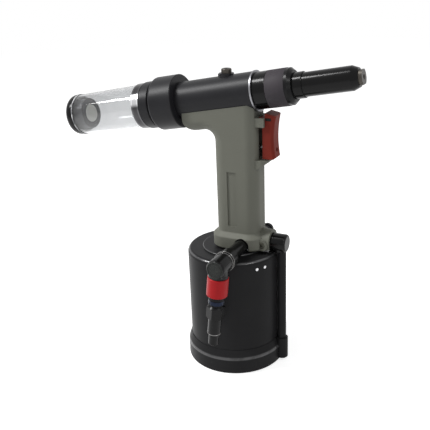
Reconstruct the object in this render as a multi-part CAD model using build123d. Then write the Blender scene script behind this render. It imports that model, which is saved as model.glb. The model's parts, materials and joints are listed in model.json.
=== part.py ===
from build123d import *
import os
from math import cos, pi, sin, radians, tan

# Pneumatic riveter: an air cylinder stands on its base and drives a ram up through the
# handle, and the oil above the ram pulls a piston back along the tilted head.
# Millimetres. +X points where the nose points, -Y is the air inlet's side, +Z is up.
# The origin is the centre of the base's underside.

# Gaps between pieces
FIT = 0.05                  # radial gap of a piece seated in another
RUN = 0.05                  # radial gap of a shaft that slides or turns in its bush
GAP = 0.3                   # gap between moving pieces that don't guide each other
NEAR = 0.001                # how close an edge lies to the place it is looked up by

# Base cap and its pad
CAP_RIM = 3.8
CAP_RIM_HEIGHT = 17.6
CAP_LIP = 0.5
CAP_HEIGHT = 27.0
CAP_FLOOR = 10.0
CAP_EDGE_R = 2.0
CAP_RIM_EDGE_R = 0.8
PAD_R = 47.0
PAD_THICKNESS = 3.0
PAD_TREAD_R = 38.0
PAD_TREAD_WIDTH = 3.0
PAD_TREAD_DEPTH = 1.2
PORT_R = 2.5
PORT_X = 36.0
FOOT_BOSS_R = 6.8
FOOT_BOSS_BOTTOM = 3.5
FOOT_BOSS_TOP = CAP_HEIGHT + 0.5
FOOT_BOSS_EDGE = 0.6

# Air cylinder
CYLINDER_R = 50.0
CYLINDER_WALL = 3.5
CYLINDER_TOP = 129.2
ROOF_THICKNESS = 9.0
ROOF_EDGE_R = 4.5
ROOF_BOSS_R = 33.7
ROOF_BOSS_HEIGHT = 1.8
STUD_R = 1.6
STUD_DEPTH = 3.0
STUD_HEIGHT = 119.4
STUD_ANGLES = (-37.5, -26.0)

# Air pipe outside the cylinder
TUBE_R = 4.8
TUBE_BORE_R = 3.2
TUBE_SEAT = 6.0
TUBE_X = CYLINDER_R + GAP + TUBE_R

# Air piston, ram and gland
BUMP_RING_R = 30.0
BUMP_RING_WIDTH = 8.0
BUMP_RING_HEIGHT = 3.0
PISTON_THICKNESS = 14.0
PISTON_WEB = 6.0
PISTON_HUB_R = 14.0
PISTON_RIM = 5.0
SEAL_WIDTH = 4.0
SEAL_DEPTH = 2.5
AIR_STROKE = 78.0
RAM_R = 7.0
RAM_TOP = 160.0
RAM_NUT_R = 10.0
RAM_NUT_HEIGHT = 5.0
RAM_THREAD_R = 5.0
RAM_THREAD_LENGTH = 4.0
GLAND_R = 13.0
GLAND_FLANGE_R = 18.0
GLAND_FLANGE_THICKNESS = 4.0
GLAND_SEAL_R = 9.5

# Handle core
CORE_R = 11.0
CORE_BORE_R = 7.6
CORE_FOOT_R = 15.0
CORE_FOOT_HEIGHT = 5.0
CORE_THREAD_LENGTH = 8.0

# Head axis: it crosses the handle core at HEAD_Z, and distances along it are positive
# towards the nose
HEAD_Z = 292.25
HEAD_TILT = 9.75
HEAD = Plane(origin=(0, 0, HEAD_Z),
             x_dir=(-sin(radians(HEAD_TILT)), 0, cos(radians(HEAD_TILT))),
             z_dir=(cos(radians(HEAD_TILT)), 0, sin(radians(HEAD_TILT))))

# Head body
BARREL_R = 19.5
BARREL_BORE_R = 16.0
BARREL_REAR = -62.0
BARREL_FRONT = 30.2
BARREL_FRONT_WALL = 8.0
NECK_R = 14.5
NECK_BOTTOM = 256.0
OIL_PORT_R = 3.5
BLEED_X = -3.0
BLEED_FLANGE_R = 7.5
BLEED_FLANGE_RISE = 2.2
BLEED_HEAD_R = 5.2
BLEED_HEAD_HEIGHT = 4.6
BLEED_HEX_R = 2.5
BLEED_HEX_DEPTH = 2.5
BLEED_SHANK_R = 3.0
BLEED_LUG_R = 2.6
BLEED_LUG_OFFSET = 6.5

# Pull piston inside the head body. The oil that the ram pushes out moves it.
PULL_FRONT = -14.0
PULL_THICKNESS = 10.0
PULL_ROD_R = 8.0
PULL_TAIL_R = 6.0
PULL_TAIL_END = -70.0
MANDREL_BORE_R = 2.6
MANDREL_TUBE_R = 3.5
MANDREL_TUBE_END = -86.0
MANDREL_TUBE_FRONT = 60.0
PULL_STROKE = AIR_STROKE * RAM_R ** 2 / (BARREL_BORE_R ** 2 - PULL_ROD_R ** 2)
REAR_PLUG_LENGTH = 12.0
REAR_PLUG_FLANGE = 3.0
FRONT_GLAND_R = 12.0
FRONT_GLAND_SHOULDER = 2.0

# Front of the head
FACE_RING_R = 20.3
FACE_RING_WIDTH = 1.6
FRONT_CAP_R = 18.3
FRONT_CAP_END = 45.2
FRONT_CAP_WALL = 5.0
SLEEVE_R = 18.0
SLEEVE_END = 67.5
SLEEVE_TAPER_R = 15.0
SLEEVE_TAPER_END = 70.7
SLEEVE_BORE_R = 11.0
NOSE_RING_R = 12.8
NOSE_RING_END = 80.2
NOSE_R = 11.7
NOSE_BORE_R = 9.9
NOSE_END = 126.5
NOSE_TAPER_R = 9.0
NOSE_TAPER_END = 132.8
NOSE_THREAD_START = 60.0
NOSEPIECE_R = 8.0
NOSEPIECE_RISE = 3.7
NOSEPIECE_END = NOSE_TAPER_END + NOSEPIECE_RISE
NOSEPIECE_THREAD_R = 6.5
NOSEPIECE_THREAD_START = 124.0
NOSEPIECE_CONE_START = 119.5
NOSEPIECE_CONE_R = 3.4
NOSEPIECE_BORE_R = 2.2
NOSEPIECE_FLATS = 13.6

# Jaw case and jaws
JAW_CASE_REAR = 63.0
JAW_CASE_FRONT = 118.0
JAW_CASE_BORE_R = 7.4
JAW_CASE_THREAD_R = 8.8
JAW_CONE_ANGLE = 10.0
JAW_CONE_START = 100.0
JAW_COUNT = 3
JAW_LENGTH = 12.0
JAW_START = 104.0
JAW_BORE_R = 2.3
JAW_SPLIT = 1.6
JAW_SLIDE = 2.0
PUSHER_R = 6.0
PUSHER_THREAD_R = 6.6
PUSHER_LENGTH = 8.0
SPRING_WIRE_R = 0.8
SPRING_TURNS = 7

# Rear of the head and the collector bottle
COLLAR_R = 27.7
COLLAR_FRONT = -54.6
COLLAR_REAR = -82.0
COLLAR_EDGE_R = 3.0
COLLAR_WALL = 3.5
COLLAR_SPIGOT_R = 21.4
COLLAR_SPIGOT_WALL = 1.6
COLLAR_SPIGOT_END = -94.6
TWIST_RING_R = 24.6
TWIST_RING_FRONT = -84.0
TWIST_RING_REAR = -94.9
TWIST_RING_EDGE = 0.8
BOTTLE_FRONT = -95.4
BOTTLE_FRONT_R = 23.0
BOTTLE_REAR_R = 21.8
BOTTLE_REAR = -190.0
BOTTLE_SHOULDER_R = 3.0
BOTTLE_WALL = 1.5
BOTTLE_NECK_END = -87.0
BOTTLE_RING_R = 24.0
BOTTLE_RING_REAR = -104.0
END_CAP_R = 18.3
END_CAP_REAR = -194.6
END_CAP_PLUG_R = 16.6
END_CAP_PLUG_FRONT = -174.0
END_CAP_BORE_R = 11.5
FILTER_R = 9.7
FILTER_THICKNESS = 5.0
FILTER_RISE = 1.0

# Handle shell
GRIP_BACK_X = -14.1
GRIP_FRONT_X = 33.6
GRIP_WIDTH = 34.0
GRIP_EDGE_R = 12.0
SHELL_WALL = 2.8
SHELL_LIFT = 1.6
FOOT_HEIGHT = 12.9
FLARE_HEIGHT = 5.5
FLARE_OUT = 5.3
FLARE_STEPS = 5
FOOT_EDGE = 2.0
SADDLE_DROP = 31.0
SADDLE_EDGE = 10.5
SADDLE_REAR_X = -46.8
SADDLE_HEEL_R = 13.0
SADDLE_ARMPIT_R = 10.0
SADDLE_FRONT_X = 31.0
SADDLE_CORNER_R = 4.0
POCKET_X = 28.0
POCKET_WIDTH = 12.6
POCKET_BOTTOM = 230.0
POCKET_TOP = 264.0
LEDGE_X = 44.0
LEDGE_DROP = 9.0
LEDGE_THICKNESS = 2.2
LEDGE_WIDTH = 25.0
LEDGE_CORNER_R = 8.0
EAR_X = 41.0
EAR_TOP = 273.0
EAR_THICKNESS = 3.0
PANEL_X = 6.65
PANEL_WIDTH = 9.9
PANEL_BOTTOM = 157.5
PANEL_TOP = 216.5
PANEL_DEPTH = 1.2
HOOD_LIP = 1.0
HOOD_LIFT = 1.5
HOOD_BACK_X = 26.0
HOOD_R = 13.2
HOOD_SCREW_INSET = 6.0
HOOD_SCREW_BOSS_R = 6.2
HOOD_SCREW_RISE = 1.4
SCREW_HEAD_R = 3.8
SCREW_HEAD_HEIGHT = 3.2
SCREW_SHANK_R = 1.9
SCREW_HEX_R = 1.6
SCREW_HEX_DEPTH = 1.8

# Main valve in the foot of the handle
VALVE_RISE = 8.5
VALVE_Z = CYLINDER_TOP + ROOF_BOSS_HEIGHT + VALVE_RISE
ELBOW_R = 9.75
ELBOW_DROP_R = 8.2
ELBOW_DROP_LENGTH = 9.3
ELBOW_OFFSET = 1.9
ELBOW_NECK = 1.0
ELBOW_EDGE_R = 2.5
BLOCK_BACK_X = 12.0
BLOCK_FRONT_X = TUBE_X - ELBOW_OFFSET - ELBOW_DROP_R - ELBOW_NECK
BLOCK_WIDTH = 28.0
BLOCK_RISE = 8.0
BLOCK_TOP = VALVE_Z + BLOCK_RISE
HOOD_X = BLOCK_FRONT_X + HOOD_LIP
HOOD_SCREW_X = BLOCK_FRONT_X - HOOD_SCREW_INSET
SPOOL_R = 5.0
SPOOL_LAND = 4.0
SPOOL_WAIST_R = 3.0
SPOOL_BACK_X = 24.0
SPOOL_END_ROOM = 2.0
SPOOL_FRONT_X = BLOCK_FRONT_X - SPOOL_END_ROOM
SPOOL_BORE_BACK_X = 20.0
SPOOL_TRAVEL = 3.0
PILOT_X = 22.0
PILOT_R = 2.0
PILOT_BORE_R = 1.0
MUFFLER_X = 29.5
MUFFLER_Z = VALVE_Z + 3.0
MUFFLER_R = 6.6
MUFFLER_STEP = 0.5
MUFFLER_LENGTH = 4.5
MUFFLER_STEM_R = 5.0
MUFFLER_GROOVES = 2

# Trigger and its valve
TRIGGER_PIN_X = 37.0
TRIGGER_PIN_Z = 268.5
TRIGGER_PIN_R = 1.5
TRIGGER_WIDTH = 18.0
TRIGGER_BACK_X = 38.3
TRIGGER_FRONT_X = 51.8
TRIGGER_WAIST = 2.4
TRIGGER_TOE = 1.2
TRIGGER_BOTTOM = 231.5
TRIGGER_TOP = 277.7
TRIGGER_TONGUE_BACK_X = 34.4
TRIGGER_EDGE_R = 3.2
TRIGGER_SLOT_X = 47.5
TRIGGER_SLOT_BOTTOM = 270.0
TRIGGER_SLOT_TOP = 273.0
TRIGGER_SLOT_DEPTH = 2.0
TRIGGER_SCREW_Z = 240.0
TRIGGER_SCREW_R = 2.0
VALVE_ROD_Z = 241.0
VALVE_ROD_R = 2.0
VALVE_ROD_BACK_X = 20.0
VALVE_ROD_HEAD_R = 3.0
VALVE_ROD_HEAD = 1.5
TRIGGER_VALVE_R = 6.0
TRIGGER_VALVE_BACK_X = 14.5
TRIGGER_VALVE_CHAMBER_R = 3.5
TRIGGER_VALVE_SEAT = 3.0

# Air inlet: a stub along -Y, then a swivelling leg that hangs from it
INLET_X = 18.5
INLET_SINK = 0.6
INLET_Z = VALVE_Z - INLET_SINK
INLET_STUB_R = 7.0
INLET_BORE_R = 4.5
INLET_THREAD_R = 6.0
INLET_THREAD_START = 8.0
INLET_ARCH_GAP = 1.0
INLET_NUT_R = 9.2
INLET_NUT_START = 49.0
INLET_STUB_END = 60.0
INLET_EDGE = 0.8
LEG_Y = -75.5
LEG_LEAN = 6.3
LEG_HUB_R = 10.3
LEG_HUB_END = 10.6
LEG_SEAT = 5.0
LEG_TUBE_R = 6.4
LEG_BORE_R = 3.5
LEG_COLLAR_R = 8.0
LEG_COLLAR_LENGTH = 3.5
SHUTOFF_R = 10.75
SHUTOFF_START = LEG_HUB_END + GAP
SHUTOFF_LENGTH = 20.3
SHUTOFF_TRAVEL = 3.0
SHUTOFF_PLAY = 1.1
SHUTOFF_EDGE = 0.5
COUPLING_RING_R = 8.2
COUPLING_RING_LENGTH = 4.4
COUPLING_TEETH = 12
COUPLING_TOOTH_DEPTH = 1.0
COUPLING_TRAVEL = 2.5
NUT_R = 9.6
NUT_LENGTH = 15.2
NUT_EDGE = 2.4
NUT_NECK_R = 6.8
NUT_NECK_LENGTH = 17.0
TAIL_R = 5.3
TAIL_LENGTH = 13.6
TAIL_BORE_R = 3.5
TAIL_EDGE = 0.7


def turned(*corners):
    """A solid turned about Z from the (radius, height) corners of its half section."""
    outline = Polyline(*[(radius, 0, height) for radius, height in corners], close=True)
    return revolve(make_face(outline), Axis.Z)


def tube(outer, inner, low, high):
    """A plain tube about Z between two heights."""
    return turned((inner, low), (outer, low), (outer, high), (inner, high))


def rod(radius, low, high):
    """A plain round bar about Z between two heights."""
    return Pos(0, 0, (low + high) / 2) * Cylinder(radius, high - low)


def rims(shape, *places):
    """The circular edges about Z at the given (radius, height) places."""
    circles = shape.edges().filter_by(GeomType.CIRCLE)
    return [edge for edge in circles for radius, height in places
            if abs(edge.radius - radius) < NEAR and abs(edge.arc_center.Z - height) < NEAR]


def upright(x, y=0.0):
    """The place of a piece whose own axis stands along Z at a point of the plan."""
    return Pos(x, y, 0)


def along_x(y, z):
    """The place of a piece whose own axis runs along X."""
    return Location(Plane(origin=(0, y, z), x_dir=(0, 1, 0), z_dir=(1, 0, 0)))


def along_y(x, z, direction=1):
    """The place of a piece whose own axis runs along +Y, or -Y."""
    return Location(Plane(origin=(x, 0, z), x_dir=(1, 0, 0), z_dir=(0, direction, 0)))


def block(x_range, y_range, z_range):
    """A box between two limits along each axis."""
    sizes = [high - low for low, high in (x_range, y_range, z_range)]
    middles = [(high + low) / 2 for low, high in (x_range, y_range, z_range)]
    return Pos(*middles) * Box(*sizes)


# Base and air cylinder

def base_cap():
    rim_r = CYLINDER_R + CAP_RIM
    floor_plug_r = CYLINDER_R - CYLINDER_WALL - FIT
    cap = turned((0, 0), (rim_r, 0), (rim_r, CAP_RIM_HEIGHT), (CYLINDER_R + CAP_LIP, CAP_HEIGHT),
                 (CYLINDER_R + FIT, CAP_HEIGHT), (CYLINDER_R + FIT, CAP_FLOOR),
                 (floor_plug_r, CAP_FLOOR), (0, CAP_FLOOR))
    cap = fillet(rims(cap, (rim_r, 0)), CAP_EDGE_R)
    cap = fillet(rims(cap, (rim_r, CAP_RIM_HEIGHT)), CAP_RIM_EDGE_R)
    boss = rod(FOOT_BOSS_R, FOOT_BOSS_BOTTOM, FOOT_BOSS_TOP)
    boss = upright(TUBE_X) * chamfer(rims(boss, (FOOT_BOSS_R, FOOT_BOSS_TOP)), FOOT_BOSS_EDGE)
    cap += boss - rod(CYLINDER_R + FIT, 0, FOOT_BOSS_TOP)
    cap -= rod(PAD_R + FIT, 0, PAD_THICKNESS)
    cap -= upright(TUBE_X) * rod(TUBE_R + FIT, FOOT_BOSS_TOP - TUBE_SEAT, FOOT_BOSS_TOP)
    port_z = (PAD_THICKNESS + CAP_FLOOR) / 2
    cap -= upright(TUBE_X) * rod(PORT_R, port_z, FOOT_BOSS_TOP)
    cap -= along_x(0, port_z) * rod(PORT_R, PORT_X, TUBE_X)
    cap -= upright(PORT_X) * rod(PORT_R, port_z, CAP_FLOOR)
    return cap


def base_pad():
    pad = rod(PAD_R, 0, PAD_THICKNESS)
    tread = tube(PAD_TREAD_R, PAD_TREAD_R - PAD_TREAD_WIDTH, 0, PAD_TREAD_DEPTH)
    return pad - tread


def air_cylinder():
    bore_r = CYLINDER_R - CYLINDER_WALL
    roof = CYLINDER_TOP - ROOF_THICKNESS
    boss_top = CYLINDER_TOP + ROOF_BOSS_HEIGHT
    body = turned((bore_r, CAP_FLOOR), (CYLINDER_R, CAP_FLOOR), (CYLINDER_R, CYLINDER_TOP),
                  (ROOF_BOSS_R, CYLINDER_TOP), (ROOF_BOSS_R, boss_top),
                  (GLAND_R + FIT, boss_top), (GLAND_R + FIT, roof), (bore_r, roof))
    body = fillet(rims(body, (CYLINDER_R, CYLINDER_TOP)), ROOF_EDGE_R)
    body = fillet(rims(body, (ROOF_BOSS_R, boss_top)), ROOF_BOSS_HEIGHT / 2)
    for angle in STUD_ANGLES:
        body -= Rot(0, 0, angle) * along_x(0, STUD_HEIGHT) * rod(
            STUD_R + FIT, CYLINDER_R - STUD_DEPTH, CYLINDER_R)
    return body


def cylinder_studs():
    """Two small bright screws in the cylinder's wall."""
    stud = along_x(0, STUD_HEIGHT) * rod(STUD_R, CYLINDER_R - STUD_DEPTH, CYLINDER_R)
    return Compound(children=[Rot(0, 0, angle) * stud for angle in STUD_ANGLES])


def bump_ring():
    return tube(BUMP_RING_R, BUMP_RING_R - BUMP_RING_WIDTH, CAP_FLOOR, CAP_FLOOR + BUMP_RING_HEIGHT)


# Air piston and ram

PISTON_BOTTOM = CAP_FLOOR + BUMP_RING_HEIGHT + GAP
PISTON_TOP = PISTON_BOTTOM + PISTON_THICKNESS
PISTON_R = CYLINDER_R - CYLINDER_WALL - GAP


def air_piston():
    middle = (PISTON_BOTTOM + PISTON_TOP) / 2
    rim_in = PISTON_R - PISTON_RIM
    floor_top = PISTON_BOTTOM + PISTON_WEB
    piston = turned((RAM_THREAD_R + FIT, PISTON_BOTTOM), (PISTON_R, PISTON_BOTTOM),
                    (PISTON_R, PISTON_TOP), (rim_in, PISTON_TOP), (rim_in, floor_top),
                    (PISTON_HUB_R, floor_top), (PISTON_HUB_R, PISTON_TOP),
                    (RAM_THREAD_R + FIT, PISTON_TOP))
    piston -= rod(RAM_R + FIT, PISTON_TOP - RAM_THREAD_LENGTH, PISTON_TOP)
    nut_seat = PISTON_BOTTOM + RAM_NUT_HEIGHT
    piston -= rod(RAM_NUT_R + GAP, PISTON_BOTTOM, nut_seat)
    groove = tube(PISTON_R, PISTON_R - SEAL_DEPTH, middle - SEAL_WIDTH / 2, middle + SEAL_WIDTH / 2)
    return piston - groove


def piston_seal():
    middle = (PISTON_BOTTOM + PISTON_TOP) / 2
    low, high = middle - SEAL_WIDTH / 2, middle + SEAL_WIDTH / 2
    return tube(PISTON_R, PISTON_R - SEAL_DEPTH + FIT, low + FIT, high - FIT)


def ram_rod():
    nut_seat = PISTON_BOTTOM + RAM_NUT_HEIGHT
    shoulder = PISTON_TOP - RAM_THREAD_LENGTH
    ram = rod(RAM_R, shoulder, RAM_TOP) + rod(RAM_THREAD_R, nut_seat, shoulder)
    ram += rod(RAM_THREAD_R, PISTON_BOTTOM, nut_seat)
    return chamfer(rims(ram, (RAM_R, RAM_TOP)), (RAM_R - RAM_THREAD_R) / 2)


def ram_nut():
    nut = extrude(RegularPolygon(RAM_NUT_R, 6), RAM_NUT_HEIGHT - FIT)
    return Pos(0, 0, PISTON_BOTTOM) * nut - rod(RAM_THREAD_R + FIT, PISTON_BOTTOM, PISTON_TOP)


def ram_gland():
    """Bush that closes the cylinder's roof and guides the ram."""
    roof = CYLINDER_TOP - ROOF_THICKNESS
    top = CYLINDER_TOP + ROOF_BOSS_HEIGHT
    gland = turned((RAM_R + RUN, roof - GLAND_FLANGE_THICKNESS),
                   (GLAND_FLANGE_R, roof - GLAND_FLANGE_THICKNESS), (GLAND_FLANGE_R, roof),
                   (GLAND_R, roof), (GLAND_R, top), (RAM_R + RUN, top))
    middle = (roof + top) / 2
    return gland - tube(GLAND_SEAL_R, RAM_R, middle - SEAL_WIDTH / 2, middle + SEAL_WIDTH / 2)


def gland_seal():
    roof = CYLINDER_TOP - ROOF_THICKNESS
    middle = (roof + CYLINDER_TOP + ROOF_BOSS_HEIGHT) / 2
    half = SEAL_WIDTH / 2 - FIT
    return tube(GLAND_SEAL_R - FIT, RAM_R + RUN, middle - half, middle + half)


def handle_core():
    """Tube that holds the oil and carries the head."""
    bottom = CYLINDER_TOP + ROOF_BOSS_HEIGHT
    top = NECK_BOTTOM + CORE_THREAD_LENGTH
    core = turned((CORE_BORE_R, bottom), (CORE_FOOT_R, bottom),
                  (CORE_FOOT_R, bottom + CORE_FOOT_HEIGHT), (CORE_R, bottom + CORE_FOOT_HEIGHT),
                  (CORE_R, top), (CORE_BORE_R, top))
    return chamfer(rims(core, (CORE_FOOT_R, bottom + CORE_FOOT_HEIGHT)), CORE_FOOT_HEIGHT / 5)


# Head body and pull piston

def head_height(x):
    """Height of the head axis above a point of the plan."""
    return HEAD_Z + x * tan(radians(HEAD_TILT))


def barrel_top(x):
    """Height of the barrel's top line above a point of the plan."""
    return head_height(x) + BARREL_R / cos(radians(HEAD_TILT))


def head_body():
    front_wall = BARREL_FRONT - BARREL_FRONT_WALL
    barrel = HEAD * turned((BARREL_BORE_R, BARREL_REAR), (BARREL_R, BARREL_REAR),
                           (BARREL_R, BARREL_FRONT), (FRONT_GLAND_R + FIT, BARREL_FRONT),
                           (FRONT_GLAND_R + FIT, front_wall), (BARREL_BORE_R, front_wall))
    neck = rod(NECK_R, NECK_BOTTOM, HEAD_Z) - HEAD * rod(BARREL_R, BARREL_REAR, BARREL_FRONT)
    body = barrel + neck
    body -= rod(CORE_R + FIT, NECK_BOTTOM, NECK_BOTTOM + CORE_THREAD_LENGTH)
    body -= rod(OIL_PORT_R, NECK_BOTTOM, HEAD_Z)
    body += bleed_flange() - HEAD * rod(BARREL_BORE_R, BARREL_REAR, front_wall)
    body -= upright(BLEED_X) * rod(BLEED_SHANK_R + FIT, HEAD_Z, barrel_top(BLEED_X) + BLEED_HEAD_R)
    return body


def bleed_flange():
    """Raised seat of the oil screw, with a small lug behind it."""
    seat = barrel_top(BLEED_X) + BLEED_FLANGE_RISE
    flange = upright(BLEED_X) * rod(BLEED_FLANGE_R, HEAD_Z + BARREL_BORE_R, seat)
    lug_seat = seat - BLEED_FLANGE_RISE / 2
    lug = upright(BLEED_X - BLEED_LUG_OFFSET) * rod(BLEED_LUG_R, HEAD_Z + BARREL_BORE_R, lug_seat)
    return flange + lug


def bleed_screw():
    seat = barrel_top(BLEED_X) + BLEED_FLANGE_RISE
    top = seat + BLEED_HEAD_HEIGHT
    screw = rod(BLEED_SHANK_R, seat - BLEED_HEAD_HEIGHT, seat) + rod(BLEED_HEAD_R, seat, top)
    screw = fillet(rims(screw, (BLEED_HEAD_R, top)), BLEED_HEAD_HEIGHT / 3)
    socket = extrude(RegularPolygon(BLEED_HEX_R, 6), BLEED_HEX_DEPTH)
    return upright(BLEED_X) * (screw - Pos(0, 0, top - BLEED_HEX_DEPTH) * socket)


def front_gland():
    """Bush in the barrel's front wall, round the piston's rod."""
    back = BARREL_FRONT - BARREL_FRONT_WALL
    bush = turned((PULL_ROD_R + RUN, back - FRONT_GLAND_SHOULDER),
                  (FRONT_GLAND_R + FRONT_GLAND_SHOULDER, back - FRONT_GLAND_SHOULDER),
                  (FRONT_GLAND_R + FRONT_GLAND_SHOULDER, back), (FRONT_GLAND_R, back),
                  (FRONT_GLAND_R, BARREL_FRONT), (PULL_ROD_R + RUN, BARREL_FRONT))
    return HEAD * bush


def rear_plug():
    """Plug that closes the barrel behind the piston and guides its tail."""
    front = BARREL_REAR + REAR_PLUG_LENGTH
    back = BARREL_REAR - REAR_PLUG_FLANGE
    plug = turned((PULL_TAIL_R + RUN, back), (BARREL_R, back), (BARREL_R, BARREL_REAR),
                  (BARREL_BORE_R - FIT, BARREL_REAR), (BARREL_BORE_R - FIT, front),
                  (PULL_TAIL_R + RUN, front))
    return HEAD * plug


def pull_piston():
    rear = PULL_FRONT - PULL_THICKNESS
    middle = (PULL_FRONT + rear) / 2
    disc_r = BARREL_BORE_R - GAP
    thread_end = JAW_CASE_REAR + CORE_THREAD_LENGTH
    piston = turned((MANDREL_TUBE_R + FIT, PULL_TAIL_END), (PULL_TAIL_R, PULL_TAIL_END),
                    (PULL_TAIL_R, rear), (disc_r, rear), (disc_r, PULL_FRONT),
                    (PULL_ROD_R, PULL_FRONT), (PULL_ROD_R, JAW_CASE_REAR),
                    (PUSHER_THREAD_R, JAW_CASE_REAR), (PUSHER_THREAD_R, thread_end),
                    (MANDREL_TUBE_R + FIT, thread_end))
    groove = tube(disc_r, disc_r - SEAL_DEPTH, middle - SEAL_WIDTH / 2, middle + SEAL_WIDTH / 2)
    return HEAD * (piston - groove)


def pull_piston_seal():
    middle = PULL_FRONT - PULL_THICKNESS / 2
    half = SEAL_WIDTH / 2 - FIT
    disc_r = BARREL_BORE_R - GAP
    return HEAD * tube(disc_r, disc_r - SEAL_DEPTH + FIT, middle - half, middle + half)


def mandrel_tube():
    """Liner that leads the broken mandrels back to the bottle."""
    return HEAD * tube(MANDREL_TUBE_R, MANDREL_BORE_R, MANDREL_TUBE_END, MANDREL_TUBE_FRONT)


# Front of the head

def face_ring():
    return HEAD * tube(FACE_RING_R, FRONT_GLAND_R, BARREL_FRONT, BARREL_FRONT + FACE_RING_WIDTH)


def front_cap():
    back = BARREL_FRONT + FACE_RING_WIDTH
    cap = turned((SLEEVE_BORE_R, back), (FRONT_CAP_R, back), (FRONT_CAP_R, FRONT_CAP_END),
                 (SLEEVE_BORE_R, FRONT_CAP_END))
    return HEAD * chamfer(rims(cap, (FRONT_CAP_R, FRONT_CAP_END)), FRONT_CAP_WALL / 10)


def grip_sleeve():
    """Grip nut that clamps the nose housing to the head."""
    sleeve = turned((SLEEVE_BORE_R, FRONT_CAP_END), (SLEEVE_R, FRONT_CAP_END),
                    (SLEEVE_R, SLEEVE_END), (SLEEVE_TAPER_R, SLEEVE_TAPER_END),
                    (NOSE_R + FIT, SLEEVE_TAPER_END), (NOSE_R + FIT, NOSE_THREAD_START),
                    (SLEEVE_BORE_R, NOSE_THREAD_START))
    return HEAD * sleeve


def nose_ring():
    ring = tube(NOSE_RING_R, NOSE_R + FIT, SLEEVE_TAPER_END, NOSE_RING_END)
    return HEAD * chamfer(rims(ring, (NOSE_RING_R, NOSE_RING_END)), FRONT_CAP_WALL / 10)


def nose_housing():
    nose = turned((NOSE_BORE_R, NOSE_THREAD_START), (NOSE_R, NOSE_THREAD_START),
                  (NOSE_R, NOSE_END), (NOSE_TAPER_R, NOSE_TAPER_END),
                  (NOSEPIECE_THREAD_R + FIT, NOSE_TAPER_END),
                  (NOSEPIECE_THREAD_R + FIT, NOSEPIECE_THREAD_START),
                  (NOSE_BORE_R, NOSEPIECE_THREAD_START))
    return HEAD * nose


def nosepiece():
    """Steel tip that takes the rivet and holds the jaws open at rest."""
    tip = turned((NOSEPIECE_BORE_R, NOSEPIECE_CONE_START), (NOSEPIECE_CONE_R, NOSEPIECE_CONE_START),
                 (NOSEPIECE_THREAD_R, NOSEPIECE_THREAD_START), (NOSEPIECE_THREAD_R, NOSE_TAPER_END),
                 (NOSEPIECE_R, NOSE_TAPER_END), (NOSEPIECE_R, NOSEPIECE_END),
                 (NOSEPIECE_BORE_R, NOSEPIECE_END))
    flats = Pos(0, 0, NOSEPIECE_END) * Box(
        NOSEPIECE_FLATS, 4 * NOSEPIECE_R, 2 * (NOSEPIECE_END - NOSE_TAPER_END))
    shank = rod(NOSEPIECE_R, NOSEPIECE_CONE_START, NOSE_TAPER_END)
    tip = tip & (flats + shank)
    return HEAD * chamfer(rims(tip, (NOSEPIECE_BORE_R, NOSEPIECE_END)), NOSEPIECE_BORE_R / 4)


# Jaws

def cone_r(height):
    """Inner radius of the jaw case's cone, which narrows towards the nose."""
    return JAW_CASE_BORE_R - (height - JAW_CONE_START) * tan(radians(JAW_CONE_ANGLE))


def jaw_case():
    outer_r = NOSE_BORE_R - GAP
    thread_end = JAW_CASE_REAR + CORE_THREAD_LENGTH
    case = turned((PUSHER_THREAD_R + FIT, JAW_CASE_REAR), (outer_r, JAW_CASE_REAR),
                  (outer_r, JAW_CASE_FRONT), (cone_r(JAW_CASE_FRONT), JAW_CASE_FRONT),
                  (JAW_CASE_BORE_R, JAW_CONE_START), (JAW_CASE_BORE_R, thread_end),
                  (PUSHER_THREAD_R + FIT, thread_end))
    return HEAD * case


def jaw(number):
    """One of the hardened jaws, which grip the mandrel when the cone closes on them."""
    end = JAW_START + JAW_LENGTH
    clear = GAP / cos(radians(JAW_CONE_ANGLE))
    cone = turned((JAW_BORE_R, JAW_START), (cone_r(JAW_START) - clear, JAW_START),
                  (cone_r(end) - clear, end), (JAW_BORE_R + JAW_SPLIT / 2, end))
    reach = 2 * JAW_CASE_BORE_R
    half = 180.0 / JAW_COUNT
    wedge = Polyline((0, 0), (reach, -reach * tan(radians(half))), (reach * 2, 0),
                     (reach, reach * tan(radians(half))), close=True)
    inward = JAW_SPLIT / 2 / sin(radians(half))
    sector = Pos(inward, 0, JAW_START) * extrude(make_face(wedge), JAW_LENGTH)
    return HEAD * Rot(0, 0, 360.0 / JAW_COUNT * number) * (cone & sector)


def jaw_pusher():
    low = JAW_START - GAP - PUSHER_LENGTH
    pusher = turned((MANDREL_BORE_R, low), (PUSHER_R, low),
                    (PUSHER_R, JAW_START - GAP), (MANDREL_BORE_R, JAW_START - GAP))
    return HEAD * chamfer(rims(pusher, (PUSHER_R, JAW_START - GAP)), PUSHER_R / 8)


def jaw_spring():
    """Wire spring between the rod's end and the pusher."""
    low = JAW_CASE_REAR + CORE_THREAD_LENGTH + SPRING_WIRE_R
    high = JAW_START - GAP - PUSHER_LENGTH - SPRING_WIRE_R - FIT
    radius = PUSHER_R - SPRING_WIRE_R
    coil = Helix((high - low) / SPRING_TURNS, high - low, radius)
    start = Plane(origin=coil @ 0, z_dir=coil % 0)
    return HEAD * Pos(0, 0, low) * sweep(start * Circle(SPRING_WIRE_R), path=coil)


# Rear of the head

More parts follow.
